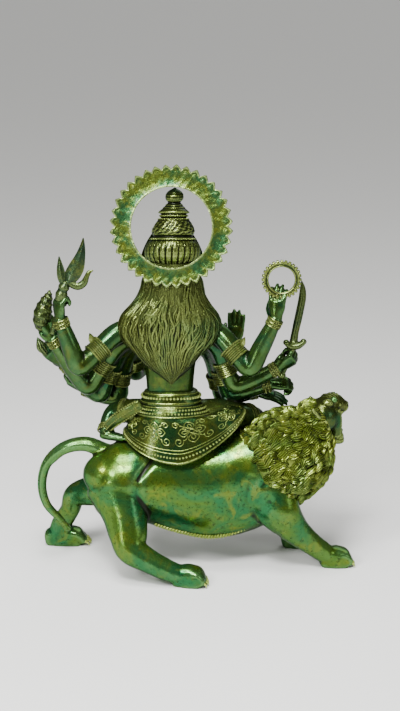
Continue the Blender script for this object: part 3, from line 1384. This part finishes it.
# Rises on the face: x to both sides and z from the middle of the head, reach in x and in z, and the rise
FEATURES = [
    (0, -1, 1.9, 6.5, 2.6),
    (0, -5.5, 2.3, 2.6, 2.6),
    (2.7, -7.4, 1.5, 1.3, 1.3),
    (7.4, 1.4, 4.6, 2.8, -2.2),
    (9.5, -8, 5.5, 5.0, 1.0),
    (1.6, -12.6, 2.4, 1.0, 1.5),
    (0, -15.2, 3.2, 1.3, 1.8),
    (0, -13.9, 5.0, 0.45, -1.2),
    (0, -17.6, 3.6, 1.2, -0.8),
    (0, -21.0, 4.4, 3.0, 1.9),
]


def face(turn, fall):
    """An egg: x = 18.5 n sin p cos a, y = 20 sin p sin a + 3 fall, z = 25 cos p, narrower (n) to the chin."""
    p, a = (0.01 + 0.97 * fall) * np.pi, 2 * np.pi * turn
    narrow = 1 - 0.24 * np.clip((fall - 0.5) * 2, 0, 1) ** 1.3
    x, z = 18.5 * narrow * np.sin(p) * np.cos(a), 25 * np.cos(p)
    y = 20 * np.sin(p) * np.sin(a) + 3 * fall
    front = np.clip(np.sin(a), 0, 1) ** 0.5 * np.clip(np.sin(p) * 1.6, 0, 1)
    for aside, fz, wide, tall, rise in FEATURES:
        for fx in sorted({-aside, aside}):
            y = y + front * rise * np.exp(-(((x - fx) / wide) ** 2) - ((z - fz) / tall) ** 2)
    beside = np.abs(x)
    bow = 5.6 + 1.6 * np.cos(np.clip((beside - 7.2) / 5.5, -1.4, 1.4) * np.pi / 2)
    ends = np.clip((beside - 1.4) / 1.5, 0, 1) * np.clip((14.5 - beside) / 2, 0, 1)
    y = y + 0.9 * front * bell(z - bow, 0.7) * ends
    return HEAD_MIDDLE[0] + x, HEAD_MIDDLE[1] + y, HEAD_MIDDLE[2] + z


# %% Eyes, ears and the mark on the brow
def from_head(rows):
    """Rows of a limb whose places are measured from the middle of the head."""
    return [[*(HEAD_MIDDLE + row[:3]), *row[3:]] for row in rows]


head_forms = [sheath(face, 110, 88)]
arc = np.linspace(-1, 1, 9)
for side in sides:
    eye = np.array([side * 7.4, 16.0, 0.8])
    head_forms.append(ball(HEAD_MIDDLE + eye, (4.2, 2.6, 2.3), 36, 22))
    for low, droop, half in ((0.55, -0.9, 0.6), (-1.5, 1.1, 0.42)):
        lid = [[*(eye + [4.7 * t, 2.2 - 1.5 * t * t, low + droop * t * t]), half] for t in arc]
        head_forms.append(limb(from_head(lid), 12, 30))
    ear = [[side * 18.5, 0, 5, 1.4, 3.4], [side * 20, 0, -3, 1.6, 3.0], [side * 20.5, 0, -13, 1.3, 2.0]]
    ear_rim = [[side * 18.8, 3, 6, 0.9], [side * 21, 3.6, 1, 0.9], [side * 21.2, 2.8, -8, 0.8]]
    head_forms += [limb(from_head(ear), 20, 24), limb(from_head(ear_rim), 12, 24)]
third_eye = [[0, 20.4, 9, 0.4, 0.5], [0, 20.9, 12, 1.1, 0.7], [0, 20.2, 15.5, 0.3, 0.4]]
head_forms.append(limb(from_head(third_eye), 14, 18))
piece("head", head_forms, figure_green)

# %% [markdown]
# ## The crown
# The crown is a temple tower in small: a row of beads, a swelling bulb of lobes, a drum covered with leaf
# scrolls, stepped rings, a ribbed cone, a polished ball and a point. All of it is turned around one axis,
# so its radius is read from a profile, and what is not round is a wave on that radius. A pointed panel
# stands before it.

# %% The crown's profile
CROWN_AXIS = np.array([-24.5, 4.0])
# Height and radius, from the brow to the tip
CROWN = [
    (304.5, 14.0), (306.0, 16.6), (309.0, 18.8), (313.0, 22.2), (317.5, 25.0), (321.5, 26.6),
    (325.5, 27.1), (329.5, 26.6), (332.8, 25.3), (335.4, 23.6), (336.6, 22.6), (337.2, 21.6),
    (337.8, 22.4), (338.7, 22.6), (339.5, 21.6), (340.1, 19.4), (340.8, 18.8), (341.6, 19.2),
    (343.0, 20.3), (346.0, 21.0), (349.0, 20.3), (353.0, 18.0), (356.6, 15.8), (357.8, 15.3),
    (358.8, 15.2), (359.3, 12.6), (360.0, 12.4), (360.5, 13.8), (361.4, 14.3), (362.2, 13.8),
    (362.7, 12.3), (363.3, 12.4), (363.9, 15.0), (364.7, 15.4), (365.5, 15.0), (367.0, 12.9),
    (370.8, 9.4), (373.4, 7.2), (375.0, 6.0), (375.6, 6.6), (377.2, 8.3), (379.6, 9.0),
    (382.4, 8.7), (384.8, 7.2), (386.6, 5.0), (387.8, 2.6), (388.8, 1.2), (389.4, 0.15),
]
CROWN_LEAN = 0.2  # its rings dip towards the brow by this share
CROWN_TILT = 0.042  # and its axis leans to the right
CROWN_FOOT = 318  # the height at which the axis stands over CROWN_AXIS
LOBES = 26
crown_z, crown_r = np.array(CROWN).T
along_crown = np.concatenate([[0], np.cumsum(np.hypot(np.diff(crown_z), np.diff(crown_r)))])
print("the crown's profile is", along_crown[-1].round(1), "parts long")


# %% The crown's reliefs
def window(values, low, high, soft):
    """1 between `low` and `high` and 0 outside, with edges `soft` wide."""
    return np.clip((values - low) / soft, 0, 1) * np.clip((high - values) / soft, 0, 1)


def crown(turn, fall):
    """r(z) from the profile, plus lobes on the bulb, scrolls on the drum and ribs on the cone."""
    z = np.interp(fall, along_crown / along_crown[-1], crown_z)
    angle = 2 * np.pi * turn
    r = np.interp(z, crown_z, crown_r)
    lobe = np.abs(np.cos(LOBES * angle / 2)) ** 0.4
    arch = 335.6 - 4.5 * (1 - lobe) ** 1.6
    r = r + window(z, 307.0, 336.6, 1.2) * (1.5 * (lobe - 0.7) * np.clip((arch - z) / 1.2, -0.45, 1))
    r = r + window(z, 326.0, 335.0, 1.0) * 0.7 * bell(z - arch, 0.8)
    scroll = np.sin(9 * angle + 1.9 * np.sin(0.9 * z)) * np.cos(0.75 * (z - 342))
    scroll = scroll + 0.6 * np.sin(21 * angle - 0.8 * z)
    r = r + window(z, 343.4, 356.6, 1.0) * 0.55 * np.clip(scroll, -0.9, 1)
    r = r + window(z, 366.0, 374.4, 0.5) * 0.3 * np.cos(2.3 * (z - 367))
    r = r + window(z, 360.5, 362.2, 0.3) * 0.25 * np.cos(40 * angle)
    lean = -CROWN_LEAN * np.sin(angle) * r * window(z, 300, 376, 8)
    x = CROWN_AXIS[0] + CROWN_TILT * (z - CROWN_FOOT) + r * np.cos(angle)
    return x, CROWN_AXIS[1] + r * np.sin(angle), z + lean


# %% The crown's beads and panel
def around_crown(z, radius, size, count):
    """A row of beads around the crown's axis."""
    angle = circle(count)
    x = CROWN_AXIS[0] + CROWN_TILT * (z - CROWN_FOOT) + radius * np.cos(angle)
    y = CROWN_AXIS[1] + radius * np.sin(angle)
    return beads_at(np.stack([x, y, z - CROWN_LEAN * radius * np.sin(angle)], -1), size)


def panel(turn, fall):
    """A pointed arch before the crown: its half width falls as (1 - f^1.7)^0.75, and it bends with it."""
    z = 312 + 45 * fall
    half = 31.5 * np.clip(1 - fall**1.7, 0, 1) ** 0.75 + 0.3
    a = 2 * np.pi * turn
    bend = 30.0 - 9 * fall**1.4
    across = half * np.cos(a)
    round_depth = np.sqrt(np.clip(bend**2 - (0.82 * across) ** 2, 1, None)) * 0.9
    depth = CROWN_AXIS[1] + round_depth + 1.3 * np.sin(a) + 1
    edge = 0.5 * np.sin(a) * np.cos(across * 0.9) * np.cos(z * 0.55)
    return CROWN_AXIS[0] + across, depth + edge, z


# Each row of beads: its height, its radius, the size of a bead and how many there are
CROWN_BEADS = ((306.6, 19.0, 1.3, 46), (338.4, 22.6, 0.6, 80), (358.2, 15.3, 0.5, 64))
crown_forms = [sheath(crown, 208, 150), sheath(panel, 60, 36), *[around_crown(*row) for row in CROWN_BEADS]]
piece("crown", crown_forms, hair_olive, crisp=60)

# %% [markdown]
# ## The ring behind the head
# The ring was cut from a wax sheet: a bright inner rim, a shallow hollow along the band, and thirty-six
# pointed teeth, each with a raised edge left standing by the knife. The point at a share q of the way from
# the hole to the edge stands off by the sum of these reliefs, and hand work is a slow wave on top of them.

# %% The ring's outline
HALO_OUTER, HALO_INNER = 59.9, 39.0
HALO_TEETH, HALO_TOOTH = 36, 4.9
HALO_HALF = 1.86
HALO_LEAN = np.radians(10)
HALO_AROUND, HALO_ACROSS = 612, 22
RING_DROP = 1.4  # it hangs a little below the middle of the solid ring
rng = np.random.default_rng(3)
angle = circle(HALO_AROUND)[:, None]
place = (angle / (2 * np.pi) * HALO_TEETH) % 1  # across one tooth
tooth_no = ((angle / (2 * np.pi) * HALO_TEETH).astype(int)) % HALO_TEETH
long = rng.uniform(0.86, 1.0, HALO_TEETH)[tooth_no]
lop = rng.uniform(0.42, 0.58, HALO_TEETH)[tooth_no]
peak = np.where(place < lop, place / lop, (1 - place) / (1 - lop))
rim = HALO_OUTER - HALO_TOOTH
edge = rim + HALO_TOOTH * long * np.clip(1.08 * peak, 0, 1) ** 0.9
q = np.linspace(0, 1, HALO_ACROSS)[None, :]
hole = HALO_INNER - 1.0 * np.sin(angle)  # the hole sits a little low
r = hole + (edge - hole) * q
wave = 0.3 * np.sin(5 * angle + 1) + 0.22 * np.sin(11 * angle + 2.5 * q)
wave = wave + 0.2 * np.sin(23 * angle - 4 * q) + 0.16 * np.sin(41 * angle + 9 * q)

# %% The ring's reliefs
# The near face: a rim at the hole, a hollow band, a border on each tooth, a cut between two and a pleat
inner_rim = 0.3 * bell(r - hole - 0.7, 0.8)
band = -1.15 * np.sin(np.pi * np.clip((r - hole - 1.6) / (rim - hole - 2.2), 0, 1)) ** 0.8
from_edge = (edge - r) * 0.62
border = 0.4 * bell(from_edge - 0.55, 0.55) * np.clip((r - rim + 2.5) / 2, 0, 1)
cut = -0.75 * bell(r - rim + 0.2, 1.9) * np.clip(peak * 1.8, 0, 1)
pleat = 0.35 * np.cos(2 * np.pi * place) * np.clip((r - rim + 6) / 6, 0, 1)
pleat = pleat * np.clip((rim + 1 - r) / 2, 0, 1)
relief = wave * 0.6 + inner_rim + band + border + cut - pleat
stand = np.clip(HALO_HALF - 0.35 + relief, 0.25, HALO_HALF + 0.35)
print("the near face stands", stand.min().round(2), "to", stand.max().round(2), "parts off the middle")

# %% The toothed ring
thin = np.clip((edge - r) / 1.2, 0.35, 1)  # thinner at the very edge
near_face = np.stack(np.broadcast_arrays(r, -stand * thin, 0 * r), -1)
far_face = np.stack(np.broadcast_arrays(r, (HALO_HALF - 0.3 + 0 * r) * thin, 0 * r), -1)
section = np.concatenate([near_face, far_face[:, ::-1]], 1)
radius, depth = section[..., 0], section[..., 1]
cos_lean, sin_lean = np.cos(HALO_LEAN), np.sin(HALO_LEAN)
up_ring = radius * np.sin(angle)
back_ring, high_ring = depth * cos_lean + up_ring * sin_lean, up_ring * cos_lean - depth * sin_lean
grid = np.stack([radius * np.cos(angle), back_ring, high_ring], -1)
halo_pale = patina(
    "halo_pale",
    green=(0.022, 0.078, 0.026), second=(0.072, 0.104, 0.014), ochre=(0.135, 0.155, 0.015),
    worn=(0.25, 0.33, 0.11), dark=(0.012, 0.016, 0.006), ochre_share=0.6, cloud=60.0, pits=0.8,
)
halo_ring = piece("halo_ring", [hoop(HALO_SPOT - RING_DROP * UP + grid)], halo_pale, crisp=40)
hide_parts("halo")
band_middle = (HALO_INNER + rim) / 2
inward = np.array([0, cos_lean, -sin_lean])
foot = HALO_SPOT + np.array([0, -sin_lean, -cos_lean]) * band_middle + inward * (HALO_HALF + 0.4)
lug_rows = [[*(foot + inward * 15), 5.2], [*(foot + inward * 6), 5.2], [*(foot + inward * 0.6), 5.6]]
piece("halo_lug", [limb(lug_rows, 32, 20, across=X_WAY, tip=0.1)], hair_olive)

# %% [markdown]
# ## The skirt
# A cloth skirt was modelled as a bell: two beaded belts at the waist, a smooth dark field with raised
# threads of wax, and a hem of two fine lines and a row of beads. The hem hangs low at the back and rises
# over the thighs, so the height of the last rows depends on the angle around the body.

# %% The skirt's form
# Middle x, height, half width, half depth, swelling to the right, and how far the row follows the hem at the
# back and rises on the right
SKIRT = [
    [-26, 188.0, 25.0, 18.5, 0, 0, 0],
    [-26, 186.0, 27.6, 20.5, 0, 0, 0],
    [-26, 181.0, 29.4, 22.0, 0, 0, 0],
    [-26, 177.0, 30.6, 23.0, 0, 0, 0],
    [-26, 175.6, 29.6, 22.4, 0, 0, 0],
    [-25.5, 174.2, 32.5, 24.5, 0, 0, 0],
    [-25, 170.0, 35.4, 27.0, 1, 0, 0],
    [-24.4, 166.4, 37.4, 28.6, 3, 0, 1],
    [-24, 165.0, 36.4, 28.0, 4, 0.02, 2],
    [-22, 161.0, 41.5, 30.0, 9, 0.08, 8],
    [-19.5, 156.0, 46.5, 32.2, 11, 0.2, 13],
    [-17.8, 150.0, 51.0, 34.4, 10, 0.38, 18],
    [-17, 144.0, 54.4, 36.6, 9, 0.6, 22],
    [-17, 139.0, 56.4, 38.4, 8.5, 0.85, 25],
    [-17, 136.0, 57.2, 39.4, 8, 1.0, 26],
]
SKIRT_MIDDLE_Y = -2.0
HEM_BACK, HEM_LEFT = 15.5, 6.0  # how far the hem hangs at the back and rises on the left
BELT_DROOP = 2.0  # how far the belts sink at the sides
skirt_rows = np.array(SKIRT)
steps_down = np.hypot(np.hypot(np.diff(skirt_rows[:, 1]), np.diff(skirt_rows[:, 2])), 0.3)
skirt_fall = np.concatenate([[0], np.cumsum(steps_down)]) / steps_down.sum()


def on_skirt(turn, fall, lift):
    """An ellipse at each fall, swollen to the right by cos^1.5 and raised or lowered towards the hem."""
    x, z, half, deep, swell, hem, rise = (np.interp(fall, skirt_fall, skirt_rows[:, k]) for k in range(7))
    angle = 2 * np.pi * turn
    back, right, left = (np.clip(v, 0, 1) for v in (-np.sin(angle), np.cos(angle), -np.cos(angle)))
    z = z - hem * (HEM_BACK * back**1.5 - HEM_LEFT * left**2) + rise * right**1.4
    z = z - BELT_DROOP * np.cos(angle) ** 2 * np.clip((0.56 - fall) / 0.12, 0, 1)
    out_x = x + (half + lift) * np.cos(angle) + swell * right**1.5
    out_y = SKIRT_MIDDLE_Y + (deep + lift) * np.sin(angle)
    return np.stack(np.broadcast_arrays(out_x, out_y, z + 0.55 * lift), -1)


# %% The skirt and its finishes
skirt_dark = patina(
    "skirt_dark",
    green=(0.013, 0.052, 0.014), second=(0.044, 0.064, 0.008), ochre=(0.110, 0.110, 0.012),
    worn=(0.10, 0.14, 0.035), ochre_share=0.45, cloud=30.0, rough=0.2,
)
thread_olive = patina(
    "thread_olive",
    green=(0.040, 0.085, 0.016), second=(0.090, 0.120, 0.015), ochre=(0.16, 0.16, 0.018),
    worn=(0.38, 0.46, 0.13), ochre_share=0.45, cloud=40.0, rough=0.27,
)
SKIRT_AROUND, SKIRT_DOWN = 132, 66
UNDERSIDE = [0.8, 2.0, 3.6, 6.0, 12.0, 24.0]  # how far in the rings of the skirt's underside lie
all_falls = np.concatenate([np.linspace(0, 1, SKIRT_DOWN), np.ones(len(UNDERSIDE))])
turn, fall = turn_and_fall(SKIRT_AROUND, all_falls)
inset = np.concatenate([np.zeros(SKIRT_DOWN), UNDERSIDE])[:, None]
grid = on_skirt(turn, fall, -inset)
grid[..., 2] += 0.4 * inset - np.clip(inset, 0, 1.2)
piece("skirt", [skin(grid)], skirt_dark, crisp=60)

# %% [markdown]
# ## Threads and beads on the skirt
# The ornament repeats eight times around. In its own flat measure, u across and v down, a flower has four
# pointed petals, each with a smaller one inside. The line of a petal runs out and back as a cosine, and
# stands aside as |sin|^2.2, so it ends in points. Beside the flower stand scrolls, whose radius falls
# evenly while the angle turns a little over once. The flat measure is then laid on the skirt.

# %% Curves of the ornament
REPEATS = 8
REPEAT_START = 0.7925  # the turn at which a flower stands, near the middle of the back
FIELD_HALF_WIDTH = 18.0  # half of one repeat, in parts
t = np.linspace(0, 1, 36)


def spiral(u, v, big, start, way, turns=1.35):
    """A scroll around (u, v): its radius shrinks from `big` to a quarter of it over `turns` turns."""
    r = big * (1 - 0.75 * t)
    a = np.radians(start) + way * 2 * np.pi * turns * t
    return np.stack([u + r * np.cos(a), v + r * np.sin(a)], -1)


def petal(angle, inner, outer, half):
    """A pointed petal: it runs out and back, and stands aside by half |sin|^2.2, so it ends in points."""
    go = 2 * np.pi * t
    along = (inner + outer) / 2 - (outer - inner) / 2 * np.cos(go)
    across = half * np.sign(np.sin(go)) * np.abs(np.sin(go)) ** 2.2 * (1 - 0.15 * np.cos(go))
    a = np.radians(angle)
    return np.stack([along * np.cos(a) - across * np.sin(a), along * np.sin(a) + across * np.cos(a)], -1)


def bow(first, middle, last):
    """A plain bow through three points of the flat measure: a quadratic Bezier curve."""
    first, middle, last = (np.array(p, float) for p in (first, middle, last))
    k = t[:, None]
    return (1 - k) ** 2 * first + 2 * k * (1 - k) * middle + k * k * last


# %% Flowers and scrolls
motif = [petal(a, 2.2, 11.6, 4.2) for a in (0, 90, 180, 270)]
motif += [petal(a, 3.4, 8.6, 1.6) for a in (0, 90, 180, 270)]
motif += [np.stack([2.0 * np.cos(2 * np.pi * t), 2.0 * np.sin(2 * np.pi * t)], -1)]
for across in (-1, 1):
    for down in (-1, 1):
        scroll = spiral(across * 12.4, down * 8.6, 4.2, 90 + 90 * across + 20 * across * down, -across * down)
        motif.append(scroll)
        motif.append(bow(scroll[0], (across * 7.0, down * 9.0), (across * 4.2, down * 4.2)))
motif = np.array(motif)
print(len(motif), "lines in one repeat")
flower_turns = REPEAT_START + np.arange(REPEATS) / REPEATS
FIELD_MIDDLE = 0.675  # the share of the fall at the middle of a flower
FIELD_PARTS = 80.0  # the length of the skirt's slope from the waist to the hem
u, v = motif[..., 0], motif[..., 1]
turn = (flower_turns[:, None, None] + u / (2 * FIELD_HALF_WIDTH * REPEATS)).reshape(-1, len(t))
fall = np.tile(FIELD_MIDDLE + v / FIELD_PARTS, (REPEATS, 1))
raised = [tubes(on_skirt, turn, fall, 0.5, 0.42, 0.1, around=6, shine=0.25)]

# %% Threads and rows of beads on the skirt
all_round = np.linspace(0, 1.003, 200)[None, :]
for height, wide, tall in (
    (0.03, 0.8, 0.7), (0.175, 0.75, 0.6), (0.26, 0.7, 0.6), (0.425, 0.8, 0.7),
    (0.875, 0.45, 0.45), (0.905, 0.45, 0.45), (0.99, 0.9, 0.8),
):
    raised.append(tubes(on_skirt, all_round, height + 0 * all_round, wide, tall, 0.1, around=6, shine=0.24))


def skirt_beads(height, count, size, lift):
    """A row of beads around the skirt at one share of its fall."""
    turn = np.arange(count) / count
    return beads_at(on_skirt(turn, np.full(count, height), lift), size)


for row in ((0.1, 52, 1.5, 0.5), (0.31, 66, 1.15, 0.4), (0.37, 68, 1.15, 0.4), (0.945, 112, 1.15, 0.3)):
    raised.append(skirt_beads(*row))
piece("skirt_threads", raised, thread_olive)

# %% [markdown]
# ## The cloth over the thighs
# The skirt goes on over both thighs as a tight sleeve that ends in a beaded edge, just short of each knee.
# A sash with three rows of beads lies over the left thigh and hangs down to the foot.

# %% Thigh cloths and the sash
CLOTH_THICK = 1.1
BEAD_STAND = 3.1  # how far the middle row of beads lies out of the middle of the sash
cloths, cloth_edges = [], []
for rows, end in ((RIGHT_LEG, 0.40), (LEFT_LEG, 0.36)):
    grown = [[x, y, z, a + CLOTH_THICK, b + CLOTH_THICK] for x, y, z, a, b in rows]
    cloths.append(limb(grown, 48, 40, end=end, tip=0.1))
    for back, thick in ((0.0, 1.2), (0.035, 0.7), (0.055, 0.7)):
        cloth_edges.append(thread(grown, end - back, 0.1, thick, around=60))
    cloth_edges.append(beads(grown, end - 0.02, 0.2, 1.0))
SASH = [
    [-57, -15, 175, 3, 5.5],
    [-69, -13, 167, 3, 6.2],
    [-81, -9, 157.5, 3, 6],
    [-89, -4, 149, 2.6, 5],
    [-94, 1, 141, 2.2, 4.2],
]
cloths.append(limb(SASH, 32, 60, power=2.6))
sash_line = smooth_line(SASH, np.linspace(0.04, 0.97, 22))
sash_way = unit(np.gradient(sash_line[:, :3], axis=0))
sash_side = unit(np.cross(sash_way, Y_WAY))
for share, size in ((0.92, 1.3), (0.0, 0.9), (-0.92, 1.3)):
    spots = sash_line[:, :3] + share * sash_line[:, 4:] * sash_side
    spots = spots - BEAD_STAND * Y_WAY * (1 - 0.6 * abs(share))
    cloth_edges.append(beads_at(spots, size))
piece("thigh_cloth", cloths, skirt_dark)
piece("thigh_edges", cloth_edges, jewel_olive)

# %% [markdown]
# ## What the hands hold
# A trident with a leaf blade between a straight prong and a hooked one, a conch, a lotus bud, a toothed
# discus and a curved sword. The blades are limbs whose section is a lozenge, which gives them their ridge.

# %% Trident, conch and bud
SHAFT = [[-141, -29, 252, 2.6], [-135, -29.5, 274, 2.4], [-128.4, -30, 300, 2.6]]
SOCKET = [
    [-132.6, -30, 286, 5.0],
    [-131, -30, 291, 6.0],
    [-129.8, -30, 295, 4.8],
    [-128.6, -30, 298, 5.6],
    [-127, -30, 302, 3.6],
]
LEAF_BLADE = [
    [-126.5, -30, 300, 2.2, 2.6],
    [-121.8, -30, 307.5, 3.0, 7.0],
    [-116.4, -30, 317, 2.8, 7.6],
    [-112, -30, 329, 2.0, 4.8],
    [-109.8, -30, 339, 1.2, 2.4],
    [-109, -30, 346, 0.5, 0.6],
]
STRAIGHT_PRONG = [
    [-128.6, -30, 299, 2.0, 2.6],
    [-130.4, -30, 307, 2.2, 4.2],
    [-131.6, -30, 316, 1.8, 3.6],
    [-132.6, -30, 328, 0.5, 0.6],
]
HOOKED_PRONG = [
    [-126, -30, 303.5, 2.2, 2.4],
    [-120, -30, 300, 2.4, 3.4],
    [-114.5, -30, 298.8, 2.4, 3.7],
    [-109.4, -30, 302, 2.3, 3.5],
    [-106.2, -30, 308.6, 1.9, 2.4],
    [-104, -30, 312.6, 1.4, 2.0],
    [-100.2, -30, 314.4, 0.5, 0.6],
]
weapons = [
    limb(SHAFT, 24, 40),
    limb(SOCKET, 32, 36),
    limb(LEAF_BLADE, 28, 44, power=1.15),
    limb(STRAIGHT_PRONG, 28, 50, power=1.3),
    limb(HOOKED_PRONG, 28, 60, power=1.6),
]
piece("trident", weapons, weapon_dark)


def conch_lift(place, angle):
    """A spiral seam and rows of knobs along it: the wave turns seven times from end to end."""
    spin = angle + 2 * np.pi * 7.0 * place
    return 0.42 * np.cos(spin) + 0.4 * np.clip(np.cos(9 * angle) * np.cos(spin), 0, 1) ** 0.8


def petal_lift(place, angle):
    """Eight petals around a bud, parted by creases."""
    return 0.9 * (np.abs(np.cos(4 * angle)) ** 0.5 - 0.7) * np.sin(np.pi * np.clip(place * 1.1, 0, 1))


CONCH = [
    [-154, -4, 247, 2.6],
    [-154, -4, 255, 7.4],
    [-152, -4, 266, 8.8],
    [-149, -4, 276, 6.6],
    [-146, -4, 283.5, 3.8],
    [-144.6, -4, 288.5, 0.8],
]
BUD = [
    [-150, 22, 214, 1.6],
    [-153, 22, 219, 3.6],
    [-156.5, 22, 224.5, 5.2],
    [-159, 22, 230, 3.0],
    [-160.5, 22, 234, 0.7],
]
held = [limb(CONCH, 72, 60, lift=conch_lift), limb(BUD, 48, 30, lift=petal_lift)]
piece("conch_and_bud", held, weapon_dark)

# %% The discus
DISCUS_MIDDLE = np.array([82.0, -24, 304])
DISCUS_OUTER, DISCUS_INNER, DISCUS_HALF = 19.6, 12.4, 2.3
STUDS = 28
angle = circle(14 * STUDS)[:, None]
q = np.linspace(0, 2 * np.pi, 18, endpoint=False)[None, :]
stud = np.clip((np.cos(STUDS * angle) + 0.55) * 2.4, 0, 1)
c, s = (np.sign(f(q)) * np.abs(f(q)) ** 0.7 for f in (np.cos, np.sin))
groove = 0.9 * bell(c + 0.28, 0.2)
outside = np.clip(c + 0.25, 0, 1)
r = (DISCUS_INNER + DISCUS_OUTER) / 2 - 0.7 + 2.6 * c + 1.6 * stud * outside
deep = (DISCUS_HALF * (0.82 + 0.3 * stud * (outside > 0))) * s * (1 - 0.35 * groove)
grid = np.stack(np.broadcast_arrays(r * np.cos(angle), deep, r * np.sin(angle)), -1)
piece("discus", [hoop(DISCUS_MIDDLE + grid)], jewel_olive, crisp=40)


# %% The sword
def blade_lift(place, angle):
    """A hollow along both flat faces of the blade."""
    from_back, from_front = angle - np.pi, np.minimum(angle, 2 * np.pi - angle)
    return -0.7 * bell(from_back, 0.24) - 0.7 * bell(from_front, 0.24)


BLADE = [
    [96, 6, 231, 1.9, 4.4],
    [97.6, 6, 243, 1.9, 3.7],
    [100, 6, 255, 1.9, 3.9],
    [102.5, 6, 268, 1.9, 3.9],
    [104.4, 6, 280, 1.8, 3.7],
    [104.4, 6, 289, 1.6, 2.7],
    [103.4, 6, 296, 0.5, 0.6],
]
GRIP = [[85, 6, 200, 3.2], [87.5, 6, 205, 2.6], [93, 6, 220, 2.4], [97, 6, 230, 2.8]]
GUARD = [
    [89.8, 6, 231.8, 3.6, 2.9],
    [94.5, 6, 229.4, 4.2, 3.6],
    [100.5, 6, 229.8, 4.2, 3.6],
    [105.6, 6, 232.8, 3.6, 2.9],
]
sword = [
    limb(BLADE, 44, 70, power=1.4, lift=blade_lift),
    limb(GRIP, 28, 40),
    ball((85, 6, 199), (4.2, 4.2, 3.4), 28, 18),
    limb(GUARD, 32, 40),
]
piece("sword", sword, weapon_dark)
sword_trim = [ball((89, 6, 233.2), (3.2, 3.4, 3.0), 24, 16), ball((106.2, 6, 234), (3.2, 3.4, 3.0), 24, 16)]
sword_trim.append(ball((97, 6, 233), (4.8, 3.4, 3.0), 28, 18))
piece("sword_trim", sword_trim, weapon_dark)

# %% [markdown]
# ## The studio
# The camera looks down by 16 degrees, from where the photo was taken. Small lamps give the sharp glints of
# wax, two far windows light the rest, and a pale floor carries the shadow.

# %% Camera
VIEW_ELEVATION = np.radians(16)
VIEW_TARGET = np.array([0.0, 0.0, 196])  # in parts
VIEW_DISTANCE = 1679  # in parts
FRAME_PIXELS = (400, 711)
TARGET_PIXEL = (197, 380)  # where the target is seen, from the picture's top left corner
SENSOR_MM, LENS_MM = 36, 85
target = shift + part * VIEW_TARGET
back = np.array([0, -np.cos(VIEW_ELEVATION), np.sin(VIEW_ELEVATION)])
camera = bpy.data.objects.new("camera", bpy.data.cameras.new("camera"))
bpy.context.scene.collection.objects.link(camera)
camera.location = target + back * VIEW_DISTANCE * part
camera.rotation_euler = (np.pi / 2 - VIEW_ELEVATION, 0, 0)
camera.data.sensor_width, camera.data.lens = SENSOR_MM, LENS_MM
camera.data.shift_x = (FRAME_PIXELS[0] / 2 - TARGET_PIXEL[0]) / FRAME_PIXELS[1]
camera.data.shift_y = (TARGET_PIXEL[1] - FRAME_PIXELS[1] / 2) / FRAME_PIXELS[1]
camera.data.clip_end = 100
bpy.context.scene.camera = camera

print("camera at", [round(v, 3) for v in camera.location])

# %% Floor
FLOOR_HALF = 14  # in metres
floor_mesh = bpy.data.meshes.new("floor")
floor_mesh.from_pydata(
    [(x * FLOOR_HALF, y * FLOOR_HALF, 0) for x, y in ((-1, -1), (1, -1), (1, 1), (-1, 1))],
    [], [(0, 1, 2, 3)],
)
floor = bpy.data.objects.new("floor", floor_mesh)
bpy.context.scene.collection.objects.link(floor)
pale = bpy.data.materials.new("pale_floor")
pale.use_nodes = True
pale.node_tree.nodes["Principled BSDF"].inputs["Base Color"].default_value = colour(0.74, 0.74, 0.72)
pale.node_tree.nodes["Principled BSDF"].inputs["Roughness"].default_value = 0.85
floor_mesh.materials.append(pale)
print("floor", 2 * FLOOR_HALF, "metres wide")


# %% Lamps, windows and the sky
LAMP_AIM = Vector((0, 0, 0.2))  # half the figure's height


def softbox(name, place, size, power):
    """A square lamp that looks at the middle of the figure."""
    lamp = bpy.data.objects.new(name, bpy.data.lights.new(name, "AREA"))
    lamp.data.size, lamp.data.energy = size, power
    lamp.location = place
    lamp.rotation_euler = (Vector(place) - LAMP_AIM).to_track_quat("Z", "Y").to_euler()
    bpy.context.scene.collection.objects.link(lamp)


softbox("key", (-0.75, -1.0, 0.95), 0.26, 17)
softbox("front", (-0.12, -0.88, 1.22), 0.34, 24)
softbox("fill", (1.2, -0.8, 0.6), 0.5, 3)
softbox("low", (-0.85, -1.0, 0.28), 0.16, 2.6)
softbox("top", (-0.12, -0.3, 1.42), 0.42, 16)


def daylight(name, way, strength, spread):
    """A far window: parallel light from the direction `way`, as soft as `spread` degrees make it."""
    lamp = bpy.data.objects.new(name, bpy.data.lights.new(name, "SUN"))
    lamp.data.energy, lamp.data.angle = strength, np.radians(spread)
    lamp.rotation_euler = Vector(way).to_track_quat("Z", "Y").to_euler()
    bpy.context.scene.collection.objects.link(lamp)


daylight("daylight", (-0.26, -0.53, 0.79), 1.1, 24)
daylight("window_behind", (0.35, 0.9, 0.75), 0.8, 40)
world = bpy.data.worlds.new("studio")
world.use_nodes = True
world.node_tree.nodes["Background"].inputs["Color"].default_value = colour(0.57, 0.57, 0.55)
world.node_tree.nodes["Background"].inputs["Strength"].default_value = 0.33
bpy.context.scene.world = world
print("lights:", [lamp.name for lamp in bpy.data.lights])

# %% [markdown]
# ## Sizes and the end
# The box of the plain solids and the box of the finished figure go into one file, so that they can be
# compared.

# %% Sizes and the end
print("triangles in all:", total_faces)
